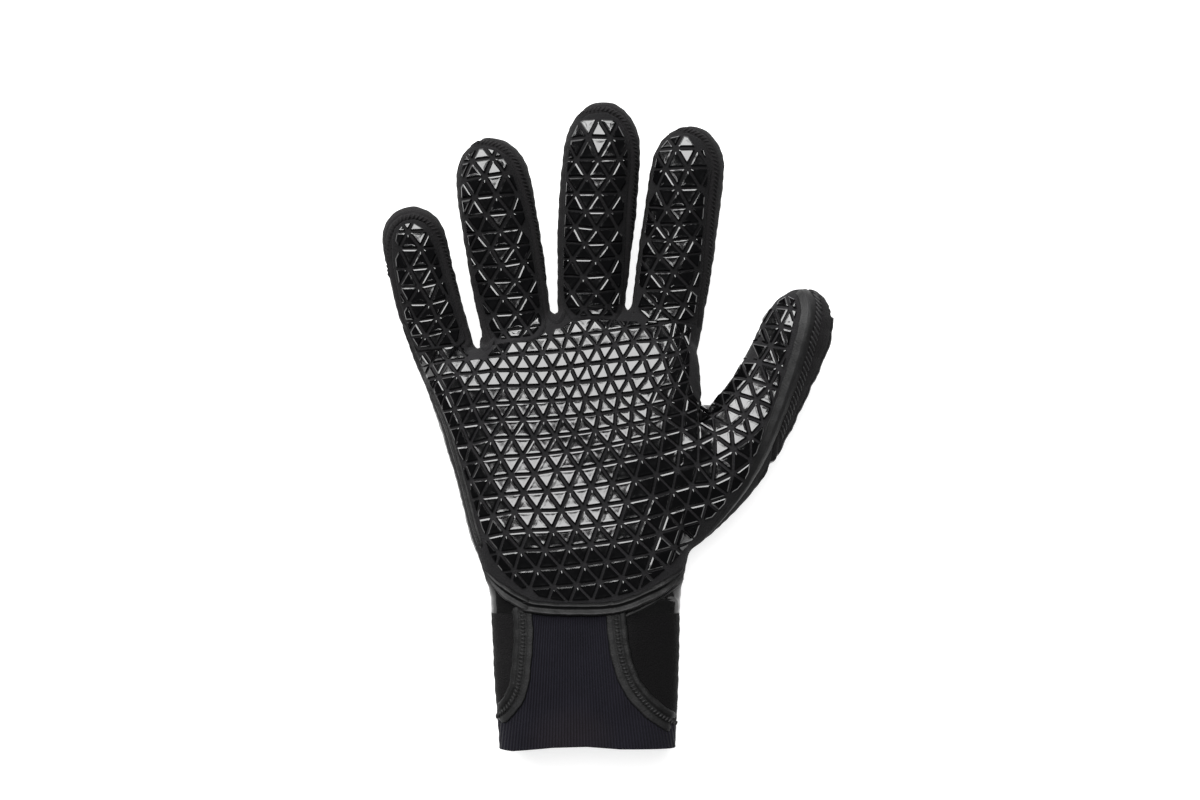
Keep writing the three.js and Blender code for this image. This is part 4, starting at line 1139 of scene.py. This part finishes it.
# Where the grooves between the grips cross in each field: column, row, then the pixel. The palm
# and the thumb are one pattern, which bends round the root of the thumb.
GRIP_CROSSINGS = {
    "palm": (
        (2, -1, 568, 337), (3, -1, 586, 335), (4, -1, 606, 333), (6, -1, 643, 328),
        (-5.5, 0, 433, 365), (-4.5, 0, 450, 362), (-3.5, 0, 469, 360), (-1.5, 0, 505, 357),
        (-0.5, 0, 524, 355), (1.5, 0, 563, 352), (3.5, 0, 597, 348), (5.5, 0, 633, 343),
        (7.5, 0, 669, 340), (-4, 1, 460, 375), (-3, 1, 477, 374), (-2, 1, 496, 371),
        (-1, 1, 515, 371), (0, 1, 534, 371), (1, 1, 553, 370), (2, 1, 571, 368),
        (3, 1, 588, 365), (4, 1, 604, 363), (6, 1, 643, 359), (7, 1, 662, 357),
        (-4.5, 2, 449, 392), (-3.5, 2, 467, 388), (-1, 3, 515, 403), (-2, 3, 495, 404),
        (-3, 3, 475, 406), (-4, 3, 457, 409), (0, 3, 534.6, 402), (1, 3, 552.5, 401),
        (2, 3, 569.5, 400), (3, 3, 585.5, 399), (4, 3, 602, 397), (6, 3, 635, 393),
        (-4.5, 4, 450, 428), (-3.5, 4, 464, 425), (-4, 5, 457, 446), (-3, 5, 472, 444),
        (-2, 5, 493, 438), (-1, 5, 513.5, 437), (0, 5, 535, 437), (1, 5, 556, 435),
        (2, 5, 575, 433), (3, 5, 595, 430), (4, 5, 614.6, 427), (-3.5, 6, 467, 463),
        (5.5, 6, 645, 437), (8.5, 6, 697, 424), (9.5, 6, 711, 417), (10.5, 6, 724, 407),
        (11.5, 6, 735.6, 394), (12.5, 6, 748, 380), (13.5, 6, 758, 363), (14.5, 6, 769, 347),
        (15.5, 6, 779, 328), (11, 5, 722, 392), (12, 5, 732, 378), (13, 5, 741, 362),
        (14, 5, 750, 342), (15, 5, 762, 327), (16.5, 6, 788, 310), (-3, 7, 473, 479),
        (-2, 7, 492.5, 477), (-1, 7, 513, 474), (0, 7, 536, 473), (1, 7, 557.5, 469),
        (2, 7, 579, 467.5), (3, 7, 599.5, 464), (4, 7, 620, 460), (5, 7, 640, 456),
        (6, 7, 659, 453), (7, 7, 678, 447), (8, 7, 697, 442), (9, 7, 713, 434),
        (10, 7, 729, 428), (11, 7, 743, 416), (12, 7, 754, 400), (13, 7, 767, 387),
        (14, 7, 776, 368), (-3.5, 8, 471, 499), (-2.5, 8, 482.5, 496), (7.5, 8, 696, 464),
        (8.5, 8, 713, 458), (9.5, 8, 731, 448), (10.5, 8, 748, 436), (-2, 9, 495, 514),
        (-1, 9, 516, 510), (0, 9, 538.5, 509), (1, 9, 562, 508.6), (2, 9, 584, 506),
        (3, 9, 605, 503), (4, 9, 626, 500), (5, 9, 651, 495), (6, 9, 671, 489),
        (7, 9, 690, 483.5), (8, 9, 710, 482), (9, 9, 731, 472), (-2.5, 10, 488, 535),
        (-2, 11, 501, 550), (-1, 11, 522, 547), (0, 11, 546, 547), (1, 11, 569, 544),
        (2, 11, 591, 541.6), (3, 11, 613, 539), (-1.5, 12, 516, 567.5), (-1, 13, 531, 585),
        (0, 13, 554, 583), (1, 13, 577, 581), (2, 13, 599.5, 578),
    ),
    "little": (
        (0, 0, 410, 234), (-0.5, 1, 401.7, 250), (0.5, 1, 422.5, 250), (0, 2, 411.7, 270),
        (1, 2, 432.5, 268), (0.5, 3, 421, 287.5), (1.5, 3, 440, 283), (0, 4, 410, 304),
        (1, 4, 431.7, 304), (0.5, 5, 418, 321), (1.5, 5, 438, 318), (1, 6, 427.5, 336),
        (2, 6, 447, 331),
    ),
    "ring": (
        (0.5, -1, 494, 162), (0, 0, 486.7, 180), (1, 0, 506, 177), (-0.5, 1, 476.7, 200),
        (0.5, 1, 497.5, 198), (1.5, 1, 518, 197), (0, 2, 488, 217), (1, 2, 511.7, 215),
        (-0.5, 3, 480, 235), (0.5, 3, 501, 233), (1.5, 3, 521.7, 230), (0, 4, 492.5, 250),
        (1, 4, 515, 248), (0.5, 5, 502, 267), (1.5, 5, 524, 263), (0, 6, 492, 283),
        (1, 6, 516, 282), (-0.5, 7, 482, 299), (0.5, 7, 504, 298), (1.5, 7, 527, 296),
        (0, 8, 495, 315), (1, 8, 517, 314), (2, 8, 538, 311), (0.5, 9, 504.5, 332),
        (1.5, 9, 528, 329),
    ),
    "middle": (
        (0.5, -1, 598, 123), (0, 0, 589, 141), (1, 0, 610, 142), (-0.5, 1, 577, 163),
        (0.5, 1, 598, 163), (1.5, 1, 619, 162), (0, 2, 587.5, 180), (1, 2, 609, 180.5),
        (-0.5, 3, 577, 196), (0.5, 3, 598, 196), (1.5, 3, 620, 195.5), (0, 4, 586, 214),
        (1, 4, 608, 214), (-0.5, 5, 576, 228), (0.5, 5, 596, 230.5), (1.5, 5, 617, 230),
        (0, 6, 585, 245.5), (1, 6, 608, 245), (-0.5, 7, 573, 260), (0.5, 7, 595.5, 260.5),
        (1.5, 7, 617.5, 258), (0, 8, 583.5, 278), (1, 8, 608, 276.5), (-0.5, 9, 572.5, 293),
        (0.5, 9, 596, 293), (1.5, 9, 617.5, 290.5), (0, 10, 583.5, 309), (1, 10, 608, 307),
    ),
    "index": (
        (0, 0, 675, 152), (1, 0, 696, 152), (-0.5, 1, 665, 172), (0.5, 1, 686, 171),
        (-1, 2, 656.7, 190), (0, 2, 677, 191), (1, 2, 699, 190.5), (-0.5, 3, 666, 211),
        (0.5, 3, 688, 210), (-1, 4, 656.7, 226), (0, 4, 678, 226), (-1.5, 5, 648, 240),
        (-0.5, 5, 669, 242.5), (0.5, 5, 691, 240), (-1, 6, 659, 258), (0, 6, 682.5, 256.5),
        (-1.5, 7, 651, 273), (-0.5, 7, 673, 273), (0.5, 7, 696.7, 270), (-2, 8, 643, 291),
        (-1, 8, 665, 291), (0, 8, 689, 289), (-2.5, 9, 636, 309), (-1.5, 9, 659, 308),
        (-0.5, 9, 683, 305.5), (-2, 10, 651, 323), (-1, 10, 674, 322),
    ),
}


def carried(crossings):
    """A smooth sheet through the crossings, from column and row to a place in mm."""
    table = np.array(crossings)
    knots = table[:, :2] * (1, ROW_STEP)
    spots = places(table[:, 2:])

    def bend(a, b):
        square = ((a[:, None] - b[None]) ** 2).sum(2)
        return square * np.log(square + 1e-9)

    def flat(a):
        return np.concatenate([np.ones((len(a), 1)), a], axis=1)

    count = len(knots)
    system = np.zeros((count + 3, count + 3))
    system[:count, :count] = bend(knots, knots) + PATTERN_SLACK * np.eye(count)
    system[:count, count:] = flat(knots)
    system[count:, :count] = flat(knots).T
    weights = np.linalg.solve(system, np.concatenate([spots, np.zeros((3, 2))]))

    def to_place(shape):
        at = np.array(shape) * (1, ROW_STEP)
        return (np.concatenate([bend(at, knots), flat(at)], axis=1) @ weights).tolist()

    return to_place


def trimmed(shape, distance):
    """The part of a small flat shape where the outline's distance is positive."""
    kept = []
    corners = list(zip(shape, distance))
    for (p, d), (q, e) in zip(corners, corners[1:] + corners[:1]):
        if d > 0:
            kept.append(p)
        if (d > 0) != (e > 0):
            t = d / (d - e)
            kept.append((p[0] + t * (q[0] - p[0]), p[1] + t * (q[1] - p[1])))
    return kept


def tile_shape(column, row, upward):
    """Footprint of one grip in the pattern's own steps, with cut corners."""
    if upward:
        points = [(column, row), (column + 1, row), (column + 0.5, row - 1)]
    else:
        points = [(column + 0.5, row - 1), (column + 1, row), (column + 1.5, row - 1)]
    cx = sum(p[0] for p in points) / 3
    cy = sum(p[1] for p in points) / 3
    points = [(cx + (x - cx) * TILE_BASE, cy + (y - cy) * TILE_BASE) for x, y in points]
    cut = []
    for k in range(3):
        here, before, after = points[k], points[k - 1], points[(k + 1) % 3]
        cut.append(tuple(h + (b - h) * TILE_CORNER for h, b in zip(here, before)))
        cut.append(tuple(h + (b - h) * TILE_CORNER for h, b in zip(here, after)))
    return cut


def grip_shapes(name, odd_rows):
    """Footprints of a field's grips, as places in mm, cut off along the field's border."""
    inset = 0 if name == "palm" else FINGER_INSET
    to_place = carried(GRIP_CROSSINGS[name])
    spans = np.array(GRIP_CROSSINGS[name])
    shapes = []
    for row in range(int(spans[:, 1].min()) - 2, int(spans[:, 1].max()) + 4):
        shift = ((row + odd_rows) % 2) / 2
        for column in range(int(spans[:, 0].min()) - 4, int(spans[:, 0].max()) + 4):
            for upward in (True, False):
                flat = [tuple(spot) for spot in to_place(tile_shape(column + shift, row, upward))]
                kept = (within(np.array(flat), GRIP_BORDERS[name]) - inset).tolist()
                if max(kept) > 0:
                    flat = trimmed(flat, kept)
                    if len(flat) > 2:
                        shapes.append(flat)
    return shapes


def area(shape):
    total = 0
    for (ax, ay), (bx, by) in zip(shape, shape[1:] + shape[:1]):
        total += ax * by - bx * ay
    return total / 2


def grips(name, shapes, node):
    """Raises the footprints of a field off the skin."""
    corners, faces = [], []
    for shape in shapes:
        size = area(shape)
        if abs(size) < SMALLEST_TILE:
            continue
        shape = shape if size > 0 else shape[::-1]
        start = len(corners)
        for x, y in shape:
            hit, normal = drop(x, y)
            corners.append(tuple((hit - normal * TILE_SUNK) / 1000))
        faces.append(tuple(range(start, len(corners))))
    mesh = bpy.data.meshes.new("footprints")
    mesh.from_pydata(corners, [], faces)
    mesh.materials.append(grip_rubber)
    printed = bpy.data.objects.new("footprints", mesh)
    bpy.context.collection.objects.link(printed)
    raised = printed.modifiers.new("raise", "NODES")
    raised.node_group = grip_tree
    for socket in grip_tree.interface.items_tree:
        if socket.item_type == "SOCKET" and socket.in_out == "INPUT" and socket.name in GRIP_SIZES:
            raised[socket.identifier] = GRIP_SIZES[socket.name]
    finished = plain_mesh(printed, name)
    bpy.data.objects.remove(printed)
    fitted(name, finished, node)


grip_rubber, rubber_nodes, rubber_sockets = finish_of("grip_rubber", Specular_IOR_Level=0.62)
rubber_spot = object_place(rubber_nodes)
rubber_cloud = rubber_nodes.noise(rubber_spot, 0.35, 3.0)
connect(
    rubber_nodes,
    rubber_nodes.mixed(rubber_cloud, (0.0006, 0.0006, 0.0007, 1), (0.0016, 0.0016, 0.0018, 1)),
    rubber_sockets["Base Color"],
)
connect(rubber_nodes, rubber_cloud * 0.14 + 0.06, rubber_sockets["Roughness"])
rubber_relief = rubber_nodes.bump(rubber_nodes.noise(rubber_spot, 0.22, 1.0), 0.25, 0.0006)
connect(rubber_nodes, rubber_relief, rubber_sockets["Normal"])

# The tree that raises flat footprints into grips: an upright wall, a broad bevel, a dished top
GRIP_SIZES = {
    "Wall": (TILE_WALL + TILE_SUNK) / 1000, "Bevel": TILE_BEVEL / 1000, "Top": TILE_TOP,
    "Dish": -TILE_DISH / 1000,
}
grip_tree = bpy.data.node_groups.new("raised_grips", "GeometryNodeTree")
grip_tree.interface.new_socket("Geometry", in_out="INPUT", socket_type="NodeSocketGeometry")
for size in GRIP_SIZES:
    grip_tree.interface.new_socket(size, in_out="INPUT", socket_type="NodeSocketFloat")
grip_tree.interface.new_socket("Geometry", in_out="OUTPUT", socket_type="NodeSocketGeometry")
grip_nodes = Nodes(grip_tree)
given = grip_nodes.add("NodeGroupInput").socket.node


def given_size(name):
    return Socket(grip_nodes, given.outputs[name])


def raised_step(mesh, selection, height, scale):
    """Raises each face by a height, then narrows it about its middle."""
    sockets = {"Mesh": mesh, "Offset Scale": height, "Individual": True}
    if selection is not None:
        sockets["Selection"] = selection
    up = grip_nodes.add("GeometryNodeExtrudeMesh", {"mode": "FACES"}, sockets)
    top = Socket(grip_nodes, up.socket.node.outputs["Top"])
    narrowed = grip_nodes.add("GeometryNodeScaleElements", {"domain": "FACE"}, {
        "Geometry": up, "Selection": top, "Scale": scale,
    })
    return narrowed, top


footprints = Socket(grip_nodes, given.outputs["Geometry"])
body, top = raised_step(footprints, None, given_size("Wall"), 0.985)
body, top = raised_step(body, top, given_size("Bevel"), given_size("Top"))
body, top = raised_step(body, top, given_size("Dish"), 0.5)
underside = grip_nodes.add("GeometryNodeFlipFaces", None, {"Mesh": footprints})
join = grip_tree.nodes.new("GeometryNodeJoinGeometry")
for part in (body, underside):
    grip_tree.links.new(part.socket, join.inputs[0])
closed = grip_nodes.add("GeometryNodeMergeByDistance", None, {
    "Geometry": Socket(grip_nodes, join.outputs[0]), "Distance": 0.000002,
})
real = grip_nodes.add("GeometryNodeRealizeInstances", None, {"Geometry": closed})
painted = grip_nodes.add("GeometryNodeSetMaterial", None, {"Geometry": real, "Material": grip_rubber})
grip_nodes.add("NodeGroupOutput", None, {"Geometry": painted})

# The palm's pattern runs on into the thumb, and is parted there at the thumb's root
THUMB_SIDE = 30
palm_shapes = grip_shapes("palm", 1)
thumb_line = place(*CROTCHES[4]), place(*THUMB_ROOT)
on_thumb = [beside(np.array([shape]).mean(1), *thumb_line)[0] > 0 for shape in palm_shapes]
on_thumb = [out and shape[0][0] > THUMB_SIDE for out, shape in zip(on_thumb, palm_shapes)]
grips("palm_grips", [s for s, out in zip(palm_shapes, on_thumb) if not out], "grip_palm")
grips("thumb_grips", [s for s, out in zip(palm_shapes, on_thumb) if out], "grip_thumb")
for name in ("little", "ring", "middle", "index"):
    grips(name + "_grips", grip_shapes(name, 0), "grip_" + name)


# The seam tapes: a rolled double welt round the wrist in three lengths, flat blind-stitched
# tapes over the cuff's two seams, double piping along the little-finger side and a soft raised
# seam up the outer side of the thumb with slanting stitches beside it. All are satin black.
# The welt's shade column paints a highlight on each of its two ridges and shade in the groove between
WELT = ((-1, 0, 0), (-.85, .9, .15), (-.55, 2.0, .8), (-.25, 1.1, .05), (0, .9, 0),
        (.25, 1.5, .2), (.55, 2.3, 1), (.85, 1.3, .15), (1, 0, 0))
SIDE_SEAM = ((-1, 0, .3), (0, .5, .6), (1, 0, .3))
TAPE_INSIDE_RIGHT = ((-1, 0, .6), (-.92, .45, .9), (-.45, .55, .8), (-.3, .3, .1), (0, .7, .35),
                     (.25, .35, .1), (.5, .8, .2), (.85, .7, .3), (1, 0, .2))
TAPE_INSIDE_LEFT = tuple((-u, lift, shade) for u, lift, shade in TAPE_INSIDE_RIGHT[::-1])
PIPING = ((-1, 0, .2), (-.55, .8, .9), (-.1, .1, 0), (.4, .75, .8), (1, 0, .2))
SOFT_RIDGE = ((-1, 0, .7), (-.7, .45, .9), (-.35, .95, 1.2), (.1, 1.1, 1.5), (.5, .55, 1),
              (.8, .15, .9), (1, 0, .9))
WRIST_LEFT_PATH = ((474, 552), (481, 562), (492, 576), (506, 589), (522, 599), (534, 604))
WRIST_MIDDLE_PATH = ((522, 601), (535, 604), (560, 606), (590, 606), (604, 606), (619, 603))
WRIST_RIGHT_PATH = (
    (604, 606), (620, 604), (640, 597), (660, 587), (680, 571), (692, 556), (701, 543),
)
BELOW_WRIST_PATH = ((622, 614), (640, 606), (655, 598), (672, 587), (686, 577))
CUFF_LEFT_PATH = (
    (523, 601), (525, 625), (524.5, 642), (522.5, 662), (521, 680), (516, 694), (507, 706),
    (499, 713),
)
CUFF_RIGHT_PATH = (
    (615, 601), (616.5, 622), (619, 645), (624, 665), (631, 682), (643, 697), (656, 709),
    (668, 717), (677, 721),
)
LITTLE_SIDE_PATH = (
    (404, 324), (412, 345), (428, 378), (440, 404), (450, 428), (457, 452), (464, 476),
    (470, 500), (476, 524), (483, 546),
)
THUMB_RIDGE_PATH = (
    (790, 283), (798, 288), (804, 297), (806, 308), (803, 326), (797, 350), (790, 374),
    (780, 403), (769, 432), (757, 461), (744, 486), (730, 506), (716, 524), (704, 538),
)
CUFF_STITCHES = (1.55, 70, 2.3, 0.85, 0.55)
CUFF_STITCH_LIFT = 0.6
THUMB_STITCHES = (2.1, 42, 5.4, 1.0, 0.7)

seam_tape, tape_nodes, tape_sockets = finish_of("seam_tape", Roughness=0.5, Specular_IOR_Level=0.2)
tape_spot = object_place(tape_nodes)
tape_fleck = tape_nodes.noise(tape_spot, 1.6, 3.0)
# The stored shade paints highlights on the ridges and stitches of the tapes and shade in their grooves
tape_shade = tape_nodes.add("ShaderNodeAttribute", {"attribute_name": "shade"}, None, "Fac")
tape_tone = tape_shade * 0.31 + tape_fleck * 0.5 - 0.2
connect(
    tape_nodes,
    tape_nodes.mixed(tape_tone, (0.0016, 0.0016, 0.0016, 1), (0.0155, 0.0155, 0.0160, 1)),
    tape_sockets["Base Color"],
)
connect(tape_nodes, tape_nodes.bump(tape_fleck, 0.6, 0.0003), tape_sockets["Normal"])


def welt_path(pixels):
    """The stretch of a welt's path that shows from above, in even steps."""
    return on_top(moved_aside(places(pixels), 0))


TAPES = {
    "wrist_welt_left": ("wrist_tape_left", [strip(welt_path(WRIST_LEFT_PATH), 5.6, WELT, (16, 2))]),
    "wrist_welt_middle": ("wrist_tape_middle", [strip(places(WRIST_MIDDLE_PATH), 5.8, WELT)]),
    "wrist_welt_right": ("wrist_tape_right", [
        strip(welt_path(WRIST_RIGHT_PATH), 5.8, WELT, (2, 16)),
        strip(places(BELOW_WRIST_PATH), 1.6, SIDE_SEAM),
    ]),
    "cuff_tape_a": ("cuff_tape_left", [
        strip(places(CUFF_LEFT_PATH), 8.4, TAPE_INSIDE_RIGHT),
        stitches(places(CUFF_LEFT_PATH), CUFF_STITCHES, seam_tape, lift=CUFF_STITCH_LIFT),
    ]),
    "cuff_tape_b": ("cuff_tape_right", [
        strip(places(CUFF_RIGHT_PATH), 8.6, TAPE_INSIDE_LEFT),
        stitches(places(CUFF_RIGHT_PATH), CUFF_STITCHES, seam_tape, lift=CUFF_STITCH_LIFT),
    ]),
    "little_side_piping": ("side_piping", [strip(places(LITTLE_SIDE_PATH), 3.4, PIPING)]),
    "thumb_seam_ridge": ("thumb_ridge", [
        strip(places(THUMB_RIDGE_PATH), 6.4, SOFT_RIDGE, (6, 60)),
        # Painted highlight: the slanting stitches beside the thumb's ridge are painted lighter than the
        # tape
        stitches(places(THUMB_RIDGE_PATH[:9]), THUMB_STITCHES, seam_tape, aside=-4.4, shade=2.4),
    ]),
}
for name, (node, pieces) in TAPES.items():
    fitted(name, shaded_mesh(name, pieces, seam_tape), node)

dressed_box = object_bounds()
for label, box in (("solids", solid_box), ("dressed", dressed_box)):
    [[float(v) for v in corner] for corner in box]
